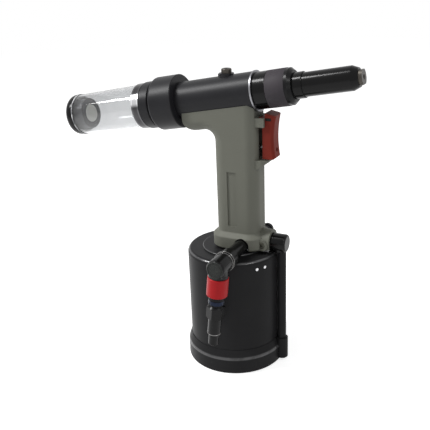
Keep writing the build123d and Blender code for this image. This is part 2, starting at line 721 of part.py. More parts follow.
def rear_collar():
    """Large black collar behind the barrel, with the spigot that the bottle plugs into."""
    spigot_in = COLLAR_SPIGOT_R - COLLAR_SPIGOT_WALL
    chamber_r = COLLAR_R - COLLAR_WALL
    collar = turned((BARREL_R + FIT, COLLAR_FRONT), (COLLAR_R, COLLAR_FRONT),
                    (COLLAR_R, COLLAR_REAR), (COLLAR_SPIGOT_R, COLLAR_REAR),
                    (COLLAR_SPIGOT_R, COLLAR_SPIGOT_END), (spigot_in, COLLAR_SPIGOT_END),
                    (spigot_in, COLLAR_REAR + COLLAR_WALL), (chamber_r, COLLAR_REAR + COLLAR_WALL),
                    (chamber_r, BARREL_REAR), (BARREL_R + FIT, BARREL_REAR))
    collar = fillet(rims(collar, (COLLAR_R, COLLAR_REAR)), COLLAR_EDGE_R)
    return HEAD * chamfer(rims(collar, (COLLAR_R, COLLAR_FRONT)), COLLAR_EDGE_R / 4)


def twist_ring():
    """Ring that turns to lock the bottle or let it go."""
    ring = tube(TWIST_RING_R, COLLAR_SPIGOT_R + RUN, TWIST_RING_REAR, TWIST_RING_FRONT)
    rounded = rims(ring, (TWIST_RING_R, TWIST_RING_REAR), (TWIST_RING_R, TWIST_RING_FRONT))
    return HEAD * chamfer(rounded, TWIST_RING_EDGE)


def collector_bottle():
    neck_r = COLLAR_SPIGOT_R - COLLAR_SPIGOT_WALL - GAP
    mouth_r = END_CAP_PLUG_R + FIT
    outside = turned((0, BOTTLE_REAR), (BOTTLE_REAR_R, BOTTLE_REAR), (BOTTLE_FRONT_R, BOTTLE_FRONT),
                     (neck_r, BOTTLE_FRONT), (neck_r, BOTTLE_NECK_END), (0, BOTTLE_NECK_END))
    outside = fillet(rims(outside, (BOTTLE_REAR_R, BOTTLE_REAR)), BOTTLE_SHOULDER_R)
    inside_rear = BOTTLE_REAR + BOTTLE_WALL
    inside = turned((0, inside_rear), (BOTTLE_REAR_R - BOTTLE_WALL, inside_rear),
                    (BOTTLE_FRONT_R - BOTTLE_WALL, BOTTLE_FRONT - BOTTLE_WALL),
                    (neck_r - BOTTLE_WALL, BOTTLE_FRONT - BOTTLE_WALL),
                    (neck_r - BOTTLE_WALL, BOTTLE_NECK_END), (0, BOTTLE_NECK_END))
    return HEAD * (outside - inside - rod(mouth_r, BOTTLE_REAR, inside_rear))


def bottle_r(height):
    """Outer radius of the bottle's tapered wall."""
    share = (height - BOTTLE_REAR) / (BOTTLE_FRONT - BOTTLE_REAR)
    return BOTTLE_REAR_R + share * (BOTTLE_FRONT_R - BOTTLE_REAR_R)


def bottle_ring():
    """Bright ring pressed round the bottle's front end."""
    return HEAD * turned((bottle_r(BOTTLE_RING_REAR) + FIT, BOTTLE_RING_REAR),
                         (BOTTLE_RING_R, BOTTLE_RING_REAR), (BOTTLE_RING_R, BOTTLE_FRONT),
                         (bottle_r(BOTTLE_FRONT) + FIT, BOTTLE_FRONT))


def bottle_end_cap():
    cap = turned((END_CAP_BORE_R, END_CAP_REAR), (END_CAP_R, END_CAP_REAR),
                 (END_CAP_R, BOTTLE_REAR), (END_CAP_PLUG_R, BOTTLE_REAR),
                 (END_CAP_PLUG_R, END_CAP_PLUG_FRONT), (FILTER_R - FILTER_RISE, END_CAP_PLUG_FRONT),
                 (FILTER_R - FILTER_RISE, END_CAP_PLUG_FRONT - FILTER_THICKNESS),
                 (END_CAP_BORE_R, END_CAP_PLUG_FRONT - FILTER_THICKNESS))
    cap -= rod(FILTER_R + FIT, END_CAP_PLUG_FRONT - FILTER_THICKNESS + FILTER_RISE,
               END_CAP_PLUG_FRONT)
    return HEAD * chamfer(rims(cap, (END_CAP_R, END_CAP_REAR)), FILTER_RISE)


def end_cap_filter():
    """Porous disc that lets the suction air out and keeps the mandrels in."""
    low = END_CAP_PLUG_FRONT - FILTER_THICKNESS + FILTER_RISE
    disc = rod(FILTER_R, low, END_CAP_PLUG_FRONT + FILTER_RISE)
    return HEAD * chamfer(rims(disc, (FILTER_R, END_CAP_PLUG_FRONT + FILTER_RISE)), FILTER_RISE / 2)


# Handle shell

SHELL_BOTTOM = CYLINDER_TOP + ROOF_BOSS_HEIGHT + SHELL_LIFT
FLARE_KNEE = SHELL_BOTTOM + FOOT_HEIGHT
FLARE_TOP = FLARE_KNEE + FLARE_HEIGHT
HALF_WIDTH = GRIP_WIDTH / 2


def grip_section(height, out):
    """Plan outline of the grip at a height, moved outwards by a distance, or inwards."""
    outline = Rectangle(GRIP_FRONT_X - GRIP_BACK_X + 2 * out, GRIP_WIDTH + 2 * out)
    outline = fillet(outline.vertices(), GRIP_EDGE_R + out)
    return Pos((GRIP_FRONT_X + GRIP_BACK_X) / 2, 0, height) * outline


def grip_foot(out=0.0):
    """The grip's wider foot and the soft flare above it."""
    foot = extrude(grip_section(SHELL_BOTTOM, FLARE_OUT + out), FLARE_KNEE - SHELL_BOTTOM)
    rings = []
    for step in range(FLARE_STEPS + 1):
        share = step / FLARE_STEPS
        height = FLARE_KNEE + share * (FLARE_TOP - FLARE_KNEE)
        rings.append(grip_section(height, out + FLARE_OUT * (1 + cos(pi * share)) / 2))
    return foot + loft(rings)


def saddle_line(x, drop):
    """Point of the side view straight above x, at a distance below the head axis."""
    return (x, head_height(x) - drop / cos(radians(HEAD_TILT)))


def side_outline(rear_x, *heel_r):
    """Side outline of grip and saddle, with the saddle's heel rounded where a radius is given."""
    armpit = saddle_line(GRIP_BACK_X, SADDLE_DROP)
    heel = saddle_line(rear_x, SADDLE_DROP)
    front_top = saddle_line(SADDLE_FRONT_X, SADDLE_EDGE)
    outline = make_face(Polyline((GRIP_BACK_X, FLARE_TOP), armpit, heel,
                                 saddle_line(rear_x, SADDLE_EDGE), front_top,
                                 (SADDLE_FRONT_X, EAR_TOP), (GRIP_FRONT_X, EAR_TOP),
                                 (GRIP_FRONT_X, FLARE_TOP), close=True))
    rounded = [(armpit, SADDLE_ARMPIT_R), (front_top, SADDLE_CORNER_R)]
    rounded += [(heel, radius) for radius in heel_r]
    for corner, radius in rounded:
        nearest = outline.vertices().sort_by_distance((*corner, 0))[0]
        outline = fillet(nearest, radius)
    return Plane.XZ * outline


def grip_and_saddle():
    """Grip and saddle with soft edges at the back, below and in front."""
    body = extrude(side_outline(2 * SADDLE_REAR_X), HALF_WIDTH, both=True)
    uprights = body.edges().filter_by(Axis.Z)
    body = fillet([edge for edge in uprights if abs(edge.center().X - GRIP_BACK_X) < NEAR],
                  GRIP_EDGE_R)
    body &= extrude(side_outline(SADDLE_REAR_X, SADDLE_HEEL_R), GRIP_WIDTH, both=True)
    length = GRIP_FRONT_X - 2 * SADDLE_REAR_X
    plan = Pos(GRIP_FRONT_X - length / 2, 0, FLARE_TOP) * Rectangle(length, GRIP_WIDTH)
    plan = fillet(plan.vertices().group_by(Axis.X)[-1], GRIP_EDGE_R)
    return body & extrude(plan, HEAD_Z - FLARE_TOP)


def trigger_ledge():
    """Small shelf that guards the trigger's lower end."""
    outline = Polyline((POCKET_X, 0, POCKET_BOTTOM), (LEDGE_X, 0, POCKET_BOTTOM),
                       (LEDGE_X, 0, POCKET_BOTTOM - LEDGE_THICKNESS),
                       (GRIP_FRONT_X, 0, POCKET_BOTTOM - LEDGE_DROP),
                       (POCKET_X, 0, POCKET_BOTTOM - LEDGE_DROP), close=True)
    shelf = extrude(make_face(outline), LEDGE_WIDTH / 2, both=True)
    corners = shelf.edges().filter_by_position(Axis.X, LEDGE_X - NEAR, LEDGE_X + NEAR)
    return fillet(corners.filter_by(Axis.Z), LEDGE_CORNER_R)


def trigger_ears():
    inner = TRIGGER_WIDTH / 2 + GAP
    ear = block((POCKET_X, EAR_X), (inner, inner + EAR_THICKNESS), (POCKET_TOP, EAR_TOP))
    return ear + mirror(ear, Plane.XZ)


def elbow_hood():
    """Arched front of the foot, over the valve's elbow."""
    arch = along_x(0, VALVE_Z) * rod(HOOD_R, HOOD_BACK_X, HOOD_X)
    arch &= block((HOOD_BACK_X, HOOD_X), (-HOOD_R, HOOD_R), (VALVE_Z, VALVE_Z + HOOD_R))
    legs = block((HOOD_BACK_X, HOOD_X), (-HOOD_R, HOOD_R), (SHELL_BOTTOM + HOOD_LIFT, VALVE_Z))
    boss = along_y(HOOD_SCREW_X, VALVE_Z, -1) * rod(HOOD_SCREW_BOSS_R, 0, HOOD_R + HOOD_SCREW_RISE)
    return arch + legs + boss


def handle_shell():
    """Moulded grip with its foot, saddle, trigger ears and elbow hood in one piece."""
    foot = grip_foot()
    foot = chamfer(foot.faces().sort_by(Axis.Z)[0].edges(), FOOT_EDGE)
    shell = grip_and_saddle() + foot
    shell += trigger_ledge() + trigger_ears() + elbow_hood()
    shell -= block((POCKET_X, LEDGE_X + GRIP_WIDTH), (-POCKET_WIDTH / 2, POCKET_WIDTH / 2),
                   (POCKET_BOTTOM, POCKET_TOP))
    tongue_room = TRIGGER_WIDTH / 2 + GAP
    shell -= block((TRIGGER_TONGUE_BACK_X - GAP, LEDGE_X + GRIP_WIDTH), (-tongue_room, tongue_room),
                   (POCKET_TOP - GAP, EAR_TOP + GAP))
    shell -= shell_hollow()
    for side in (-1, 1):
        shell -= side_panel(side)
    return shell


def side_panel(side):
    """Shallow sunk panel down each side of the grip."""
    return block((PANEL_X - PANEL_WIDTH / 2, PANEL_X + PANEL_WIDTH / 2),
                 sorted((side * (HALF_WIDTH - PANEL_DEPTH), side * GRIP_WIDTH)),
                 (PANEL_BOTTOM, PANEL_TOP))


def shell_hollow():
    """All that is taken out of the handle shell."""
    inside = grip_foot(-SHELL_WALL)
    inside += extrude(grip_section(FLARE_TOP, -SHELL_WALL), NECK_BOTTOM - SHELL_WALL - FLARE_TOP)
    inside -= block((POCKET_X - SHELL_WALL, GRIP_FRONT_X), (-GRIP_WIDTH, GRIP_WIDTH),
                    (POCKET_BOTTOM - SHELL_WALL, HEAD_Z))
    arch_r = INLET_STUB_R + INLET_ARCH_GAP
    hollow = inside + HEAD * rod(BARREL_R + FIT, 2 * SADDLE_REAR_X, BARREL_FRONT + BARREL_R)
    hollow += rod(NECK_R + FIT, NECK_BOTTOM - SHELL_WALL, HEAD_Z)
    hollow += along_x(0, VALVE_Z) * rod(ELBOW_R + FIT, HOOD_BACK_X, HOOD_X)
    hollow += block((HOOD_BACK_X, HOOD_X), (-ELBOW_R - FIT, ELBOW_R + FIT), (SHELL_BOTTOM, VALVE_Z))
    hollow += along_y(INLET_X, INLET_Z, -1) * rod(arch_r, 0, GRIP_WIDTH)
    hollow += block((INLET_X - arch_r, INLET_X + arch_r), (-GRIP_WIDTH, 0), (SHELL_BOTTOM, INLET_Z))
    hollow += along_y(MUFFLER_X, MUFFLER_Z) * rod(MUFFLER_STEM_R + FIT, 0, GRIP_WIDTH)
    hollow += along_x(0, VALVE_ROD_Z) * rod(TRIGGER_VALVE_R + FIT, TRIGGER_VALVE_BACK_X, POCKET_X)
    hollow += along_y(TRIGGER_PIN_X, TRIGGER_PIN_Z) * rod(
        TRIGGER_PIN_R + FIT, -GRIP_WIDTH / 2, GRIP_WIDTH / 2)
    hollow += along_y(HOOD_SCREW_X, VALVE_Z, -1) * rod(SCREW_SHANK_R + FIT, ELBOW_R, HOOD_R)
    hollow += along_y(HOOD_SCREW_X, VALVE_Z, -1) * rod(
        SCREW_HEAD_R + FIT, HOOD_R + HOOD_SCREW_RISE - SCREW_HEAD_HEIGHT, HOOD_R + HOOD_SCREW_RISE)
    return hollow


def handle_screw():
    head_in = HOOD_R + HOOD_SCREW_RISE - SCREW_HEAD_HEIGHT
    head_out = HOOD_R + HOOD_SCREW_RISE
    screw = rod(SCREW_HEAD_R, head_in, head_out) + rod(SCREW_SHANK_R, ELBOW_R + GAP, head_in)
    screw = chamfer(rims(screw, (SCREW_HEAD_R, head_out)), SCREW_HEAD_HEIGHT / 8)
    socket = extrude(RegularPolygon(SCREW_HEX_R, 6), SCREW_HEX_DEPTH)
    screw -= Pos(0, 0, head_out - SCREW_HEX_DEPTH) * socket
    return along_y(HOOD_SCREW_X, VALVE_Z, -1) * screw


# Main valve

def valve_block():
    bottom = CYLINDER_TOP + ROOF_BOSS_HEIGHT
    half = BLOCK_WIDTH / 2
    body = block((BLOCK_BACK_X, BLOCK_FRONT_X), (-half, half), (bottom, BLOCK_TOP))
    front = block((HOOD_BACK_X, BLOCK_FRONT_X), (-half, half), (bottom, BLOCK_TOP))
    spigot = along_x(0, VALVE_Z) * rod(ELBOW_R, HOOD_BACK_X, BLOCK_FRONT_X)
    foot = block((HOOD_BACK_X, BLOCK_FRONT_X), (-ELBOW_R, ELBOW_R), (bottom, VALVE_Z))
    body = body - front + (spigot & front) + foot
    body -= rod(CORE_FOOT_R + FIT, bottom, BLOCK_TOP)
    body -= along_x(0, VALVE_Z) * rod(SPOOL_R + RUN, SPOOL_BORE_BACK_X, BLOCK_FRONT_X)
    body -= along_y(INLET_X, INLET_Z, -1) * rod(INLET_THREAD_R + FIT, INLET_THREAD_START, half)
    body -= upright(PILOT_X) * rod(PILOT_R + FIT, BLOCK_TOP - TUBE_SEAT, BLOCK_TOP)
    body -= along_y(MUFFLER_X, MUFFLER_Z) * rod(MUFFLER_STEM_R + FIT, ELBOW_R, half)
    return body


def valve_spool():
    """Spool with two lands, which sends air to the base or lets it out."""
    back, front = SPOOL_BACK_X, SPOOL_FRONT_X - SPOOL_TRAVEL
    spool = rod(SPOOL_WAIST_R, back, front) + rod(SPOOL_R, back, back + SPOOL_LAND)
    spool += rod(SPOOL_R, front - SPOOL_LAND, front)
    return along_x(0, VALVE_Z) * spool


ELBOW_SEAT_Z = VALVE_Z - ELBOW_DROP_LENGTH
ELBOW_TURN_X = TUBE_X - ELBOW_OFFSET


def valve_elbow():
    """Gloss black elbow from the valve down to the transfer tube."""
    end_x = ELBOW_TURN_X + ELBOW_DROP_R
    arm = rod(ELBOW_R, BLOCK_FRONT_X, end_x)
    arm = along_x(0, VALVE_Z) * fillet(rims(arm, (ELBOW_R, end_x)), ELBOW_EDGE_R)
    drop = rod(ELBOW_DROP_R, ELBOW_SEAT_Z, VALVE_Z)
    drop = upright(ELBOW_TURN_X) * chamfer(rims(drop, (ELBOW_DROP_R, ELBOW_SEAT_Z)), ELBOW_EDGE_R / 2)
    elbow = arm + drop
    elbow -= upright(TUBE_X) * rod(TUBE_R + FIT, VALVE_Z - ELBOW_R, ELBOW_SEAT_Z + TUBE_SEAT)
    elbow -= upright(TUBE_X) * rod(TUBE_BORE_R, ELBOW_SEAT_Z, VALVE_Z)
    return elbow - along_x(0, VALVE_Z) * rod(SPOOL_R, BLOCK_FRONT_X, TUBE_X + TUBE_BORE_R)


def transfer_tube():
    """Air pipe down the cylinder's nose side."""
    return upright(TUBE_X) * tube(TUBE_R, TUBE_BORE_R, FOOT_BOSS_TOP - TUBE_SEAT + FIT,
                                  ELBOW_SEAT_Z + TUBE_SEAT - FIT)


def pilot_tube():
    """Thin pipe from the trigger valve to the main valve."""
    high = VALVE_ROD_Z - TRIGGER_VALVE_R + TRIGGER_VALVE_SEAT / 2
    return upright(PILOT_X) * tube(PILOT_R, PILOT_BORE_R, BLOCK_TOP - TUBE_SEAT, high)


def exhaust_muffler():
    start = HALF_WIDTH + FLARE_OUT + MUFFLER_STEP
    end = start + MUFFLER_LENGTH
    body = rod(MUFFLER_R, start, end)
    body = fillet(rims(body, (MUFFLER_R, end)), MUFFLER_R / 4)
    pitch = MUFFLER_LENGTH / (MUFFLER_GROOVES + 2)
    for number in range(MUFFLER_GROOVES):
        low = start + pitch * (number + 1)
        body -= tube(MUFFLER_R, MUFFLER_R - pitch / 3, low, low + pitch / 3)
    body += rod(MUFFLER_STEM_R, ELBOW_R + FIT, start)
    return along_y(MUFFLER_X, MUFFLER_Z) * body


# Trigger

def trigger():
    """Red lever with a waisted finger face and a tongue between the shell's ears."""
    middle = (TRIGGER_BOTTOM + TRIGGER_TOP) / 2
    waist = (TRIGGER_FRONT_X - TRIGGER_WAIST, 0, middle - TRIGGER_WAIST)
    top_front = (TRIGGER_FRONT_X, 0, TRIGGER_TOP - TRIGGER_WAIST)
    bottom_front = (TRIGGER_FRONT_X - TRIGGER_TOE / 2, 0, TRIGGER_BOTTOM + TRIGGER_TOE)
    outline = [ThreePointArc(top_front, waist, bottom_front),
               Polyline(bottom_front, (TRIGGER_FRONT_X - 2 * TRIGGER_TOE, 0, TRIGGER_BOTTOM),
                        (TRIGGER_BACK_X, 0, TRIGGER_BOTTOM),
                        (TRIGGER_BACK_X, 0, POCKET_TOP - GAP),
                        (TRIGGER_TONGUE_BACK_X, 0, POCKET_TOP - GAP),
                        (TRIGGER_TONGUE_BACK_X, 0, EAR_TOP),
                        (EAR_X, 0, EAR_TOP), (EAR_X, 0, TRIGGER_TOP), top_front)]
    lever = extrude(make_face(outline), TRIGGER_WIDTH / 2, both=True)
    front_edges = lever.edges().filter_by(lambda edge: edge.center().X > EAR_X + TRIGGER_WAIST)
    side_edges = front_edges.filter_by(lambda edge: abs(abs(edge.center().Y) - TRIGGER_WIDTH / 2) < NEAR)
    lever = fillet(side_edges.filter_by(GeomType.CIRCLE), TRIGGER_EDGE_R)
    for side in (-1, 1):
        depth = sorted((side * TRIGGER_WIDTH, side * (TRIGGER_WIDTH / 2 - TRIGGER_SLOT_DEPTH)))
        lever -= block((EAR_X + GAP, TRIGGER_SLOT_X), depth, (TRIGGER_SLOT_BOTTOM, TRIGGER_SLOT_TOP))
    lever -= along_y(TRIGGER_PIN_X, TRIGGER_PIN_Z) * rod(
        TRIGGER_PIN_R + RUN, -TRIGGER_WIDTH / 2, TRIGGER_WIDTH / 2)
    return lever - along_x(0, TRIGGER_SCREW_Z) * rod(
        TRIGGER_SCREW_R + FIT, TRIGGER_BACK_X, TRIGGER_FRONT_X)


def trigger_screw():
    """Set screw through the trigger that meets the valve rod."""
    front = TRIGGER_FRONT_X - 2 * TRIGGER_WAIST
    screw = rod(TRIGGER_SCREW_R, TRIGGER_BACK_X, front)
    socket = extrude(RegularPolygon(TRIGGER_SCREW_R / 2, 6), TRIGGER_SCREW_R)
    return along_x(0, TRIGGER_SCREW_Z) * (screw - Pos(0, 0, front - TRIGGER_SCREW_R) * socket)


def trigger_pin():
    half = TRIGGER_WIDTH / 2 + GAP + EAR_THICKNESS
    return along_y(TRIGGER_PIN_X, TRIGGER_PIN_Z) * rod(TRIGGER_PIN_R, -half, half)


def trigger_valve():
    """Brass body in the handle's front wall, which guides the valve rod."""
    valve = turned((0, TRIGGER_VALVE_BACK_X), (TRIGGER_VALVE_R, TRIGGER_VALVE_BACK_X),
                   (TRIGGER_VALVE_R, POCKET_X), (VALVE_ROD_R + RUN, POCKET_X),
                   (VALVE_ROD_R + RUN, POCKET_X - TRIGGER_VALVE_SEAT),
                   (TRIGGER_VALVE_CHAMBER_R, POCKET_X - TRIGGER_VALVE_SEAT),
                   (TRIGGER_VALVE_CHAMBER_R, TRIGGER_VALVE_BACK_X + TRIGGER_VALVE_SEAT / 2),
                   (0, TRIGGER_VALVE_BACK_X + TRIGGER_VALVE_SEAT / 2))
    valve = along_x(0, VALVE_ROD_Z) * valve
    return valve - upright(PILOT_X) * rod(PILOT_R + FIT, BLOCK_TOP, VALVE_ROD_Z)


def valve_rod():
    """Steel rod that the trigger pushes in, with its valve head inside."""
    tip = TRIGGER_BACK_X - GAP
    head = POCKET_X - TRIGGER_VALVE_SEAT - GAP
    stem = rod(VALVE_ROD_R, VALVE_ROD_BACK_X, tip)
    stem = fillet(rims(stem, (VALVE_ROD_R, tip)), VALVE_ROD_R / 2)
    return along_x(0, VALVE_ROD_Z) * (stem + rod(VALVE_ROD_HEAD_R, head - VALVE_ROD_HEAD, head))


# Air inlet

def inlet_stub():
    """Pipe screwed into the valve block, with a swivel nut near its outer end."""
    start = INLET_THREAD_START
    block_face = BLOCK_WIDTH / 2
    stub = turned((INLET_BORE_R + RUN, start), (INLET_THREAD_R, start), (INLET_THREAD_R, block_face),
                  (INLET_STUB_R, block_face), (INLET_STUB_R, INLET_NUT_START),
                  (INLET_NUT_R, INLET_NUT_START), (INLET_NUT_R, INLET_STUB_END),
                  (INLET_BORE_R + RUN, INLET_STUB_END))
    rounded = rims(stub, (INLET_NUT_R, INLET_NUT_START), (INLET_NUT_R, INLET_STUB_END))
    return along_y(INLET_X, INLET_Z, -1) * chamfer(rounded, INLET_EDGE)


LEG = Plane(origin=(INLET_X, LEG_Y, INLET_Z), x_dir=(0, -1, 0),
            z_dir=(-sin(radians(LEG_LEAN)), 0, -cos(radians(LEG_LEAN))))


def inlet_elbow():
    """Swivelling elbow with a mitred corner, which turns in the stub and carries the leg."""
    start = INLET_STUB_END + GAP
    mouth = along_y(INLET_X, INLET_Z, -1)
    mitre = Plane(origin=LEG.origin, z_dir=LEG.z_dir - Vector(0, 1, 0))
    beyond = extrude(mitre * Rectangle(8 * LEG_HUB_R, 8 * LEG_HUB_R), 8 * LEG_HUB_R)
    elbow = mouth * rod(LEG_HUB_R, start, 2 * LEG_HUB_R - LEG_Y) - beyond
    elbow += (LEG * rod(LEG_HUB_R, -2 * LEG_HUB_R, LEG_HUB_END)) & beyond
    elbow += mouth * rod(INLET_BORE_R, INLET_THREAD_START + INLET_BORE_R, start)
    return elbow - LEG * rod(LEG_TUBE_R + FIT, LEG_HUB_END - LEG_SEAT, LEG_HUB_END)


SHUTOFF_END = SHUTOFF_START + SHUTOFF_LENGTH
COLLAR_START = SHUTOFF_END + SHUTOFF_PLAY
COLLAR_END = COLLAR_START + LEG_COLLAR_LENGTH
RING_START = COLLAR_END + GAP
RING_END = RING_START + COUPLING_RING_LENGTH
NUT_START = RING_END + COUPLING_TRAVEL + GAP
NECK_START = NUT_START + NUT_LENGTH
TAIL_START = NECK_START + NUT_NECK_LENGTH
LEG_END = TAIL_START + TAIL_LENGTH


def leg_tube():
    """Valve tube inside the red sleeve and the coupling ring, with a collar between them."""
    leg = tube(LEG_TUBE_R, LEG_BORE_R, LEG_HUB_END - LEG_SEAT + FIT, NUT_START)
    return LEG * (leg + tube(LEG_COLLAR_R, LEG_BORE_R, COLLAR_START, COLLAR_END))


def shutoff_sleeve():
    """Red sliding sleeve that opens and shuts the air."""
    sleeve = tube(SHUTOFF_R, LEG_TUBE_R + RUN, SHUTOFF_START, SHUTOFF_END)
    sleeve -= rod(LEG_COLLAR_R + GAP, SHUTOFF_END - SHUTOFF_TRAVEL, SHUTOFF_END)
    rounded = rims(sleeve, (SHUTOFF_R, SHUTOFF_START), (SHUTOFF_R, SHUTOFF_END))
    return LEG * chamfer(rounded, SHUTOFF_EDGE)


def coupling_ring():
    """Toothed ring that is pushed back to free the hose coupling."""
    ring = tube(COUPLING_RING_R, LEG_TUBE_R + RUN, RING_START, RING_END)
    notch = Pos(COUPLING_RING_R, 0, RING_END) * Box(
        COUPLING_TOOTH_DEPTH, COUPLING_RING_R / 4, COUPLING_RING_LENGTH)
    for number in range(COUPLING_TEETH):
        ring -= Rot(0, 0, 360.0 / COUPLING_TEETH * number) * notch
    return LEG * ring


def coupling_nut():
    """Six-sided coupling body with its round neck."""
    hexagon = Pos(0, 0, NUT_START) * extrude(RegularPolygon(NUT_R, 6), NUT_LENGTH)
    crown = turned((0, NUT_START), (NUT_NECK_R, NUT_START), (NUT_R, NUT_START + NUT_EDGE),
                   (NUT_R, NECK_START - NUT_EDGE), (NUT_NECK_R, NECK_START), (0, NECK_START))
    body = (hexagon & crown) + rod(NUT_NECK_R, NECK_START, TAIL_START)
    return LEG * (body - rod(TAIL_BORE_R, NUT_START, TAIL_START))


def hose_tail():
    """Plain end that takes the air hose."""
    tail = tube(TAIL_R, TAIL_BORE_R, TAIL_START, LEG_END)
    return LEG * chamfer(rims(tail, (TAIL_R, LEG_END)), TAIL_EDGE)


PIECES = {
    "base_cap": base_cap, "base_pad": base_pad, "air_cylinder": air_cylinder,
    "cylinder_studs": cylinder_studs, "bump_ring": bump_ring, "air_piston": air_piston,
    "piston_seal": piston_seal, "ram_rod": ram_rod, "ram_nut": ram_nut, "ram_gland": ram_gland,
    "gland_seal": gland_seal, "handle_core": handle_core, "head_body": head_body,
    "bleed_screw": bleed_screw, "front_gland": front_gland, "rear_plug": rear_plug,
    "pull_piston": pull_piston, "pull_piston_seal": pull_piston_seal, "mandrel_tube": mandrel_tube,
    "face_ring": face_ring, "front_cap": front_cap, "grip_sleeve": grip_sleeve,
    "nose_ring": nose_ring, "nose_housing": nose_housing, "nosepiece": nosepiece,
    "jaw_case": jaw_case, "jaw_pusher": jaw_pusher, "jaw_spring": jaw_spring,
    "rear_collar": rear_collar, "twist_ring": twist_ring, "collector_bottle": collector_bottle,
    "bottle_ring": bottle_ring, "bottle_end_cap": bottle_end_cap, "end_cap_filter": end_cap_filter,
    "handle_shell": handle_shell, "handle_screw": handle_screw, "valve_block": valve_block,
    "valve_spool": valve_spool, "valve_elbow": valve_elbow, "transfer_tube": transfer_tube,
    "pilot_tube": pilot_tube, "exhaust_muffler": exhaust_muffler, "trigger": trigger,
    "trigger_screw": trigger_screw, "trigger_pin": trigger_pin, "trigger_valve": trigger_valve,
    "valve_rod": valve_rod, "inlet_stub": inlet_stub, "inlet_elbow": inlet_elbow,
    "leg_tube": leg_tube, "shutoff_sleeve": shutoff_sleeve, "coupling_ring": coupling_ring,
    "coupling_nut": coupling_nut, "hose_tail": hose_tail,
}

os.makedirs("parts", exist_ok=True)
for name, make in PIECES.items():
    export_step(make(), f"parts/{name}.step")
for number in range(JAW_COUNT):
    export_step(jaw(number), f"parts/jaw_{number + 1}.step")

print("pull stroke", round(PULL_STROKE, 3), "mm for", AIR_STROKE, "mm of the air piston")
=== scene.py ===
# %% [markdown]
# # A pneumatic riveter in Blender
# The shapes of this tool come from a CAD model, which is loaded as a fixed frame: every
# piece already sits in its place, in metres. What is left to do here is what CAD can't
# say: how paint, rubber, moulded plastic, clear plastic and bare steel look, the small
# trim that is too fine for solids, and the light and the camera.

# %% The frame
import json
import math

import bpy
from mathutils import Matrix, Vector


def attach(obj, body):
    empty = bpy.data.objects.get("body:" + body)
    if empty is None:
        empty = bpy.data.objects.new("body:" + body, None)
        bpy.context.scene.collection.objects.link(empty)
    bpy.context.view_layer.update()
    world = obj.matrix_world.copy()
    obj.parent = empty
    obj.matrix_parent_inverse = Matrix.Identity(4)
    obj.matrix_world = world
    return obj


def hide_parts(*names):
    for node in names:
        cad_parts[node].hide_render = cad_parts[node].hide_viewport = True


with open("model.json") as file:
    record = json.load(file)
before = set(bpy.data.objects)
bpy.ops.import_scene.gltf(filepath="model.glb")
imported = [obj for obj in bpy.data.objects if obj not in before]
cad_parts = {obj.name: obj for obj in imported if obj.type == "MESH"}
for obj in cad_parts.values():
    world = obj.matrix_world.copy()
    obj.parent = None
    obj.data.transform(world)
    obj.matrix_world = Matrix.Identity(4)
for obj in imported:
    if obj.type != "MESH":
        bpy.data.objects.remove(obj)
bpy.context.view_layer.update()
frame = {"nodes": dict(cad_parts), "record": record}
nodes = frame["nodes"]

# %% [markdown]
# The head of the tool is tilted, so what lies on it is easiest to place along its own axis,
# counted from the point where that axis crosses the middle of the tool.

# %% The head's axis
MM = 0.001
HEAD_TILT = math.radians(9.75)
HEAD_MIDDLE = Vector((0, 0, 292.25)) * MM
HEAD_FORWARD = Vector((math.cos(HEAD_TILT), 0, math.sin(HEAD_TILT)))
HEAD_UP = Vector((-math.sin(HEAD_TILT), 0, math.cos(HEAD_TILT)))
print("the head points along", [round(value, 3) for value in HEAD_FORWARD])

# %% [markdown]
# ## Shader maths
# A procedural finish is mostly arithmetic on masks: noise times wear, one minus a band.
# Adding a Math node by hand for each sign is slow to write and hard to read, so one small
# class wraps a socket and gives it the usual signs. Every other node comes from one method
# that sets the node's own settings first and then its sockets.

# %% The shader helper


class Mask:
    """A socket of a finish that can be added, subtracted, multiplied and divided."""

    def __init__(self, finish, socket):
        self.finish = finish
        self.socket = socket

    def math(self, operation, first, second):
        return self.finish.add("ShaderNodeMath", {"operation": operation}, {0: first, 1: second})

    def __add__(self, other):
        return self.math("ADD", self, other)

    def __radd__(self, other):
        return self.math("ADD", other, self)

    def __sub__(self, other):
        return self.math("SUBTRACT", self, other)

    def __rsub__(self, other):
        return self.math("SUBTRACT", other, self)

    def __mul__(self, other):
        return self.math("MULTIPLY", self, other)

    def __rmul__(self, other):
        return self.math("MULTIPLY", other, self)

    def __truediv__(self, other):
        return self.math("DIVIDE", self, other)

    def __pow__(self, other):
        return self.math("POWER", self, other)


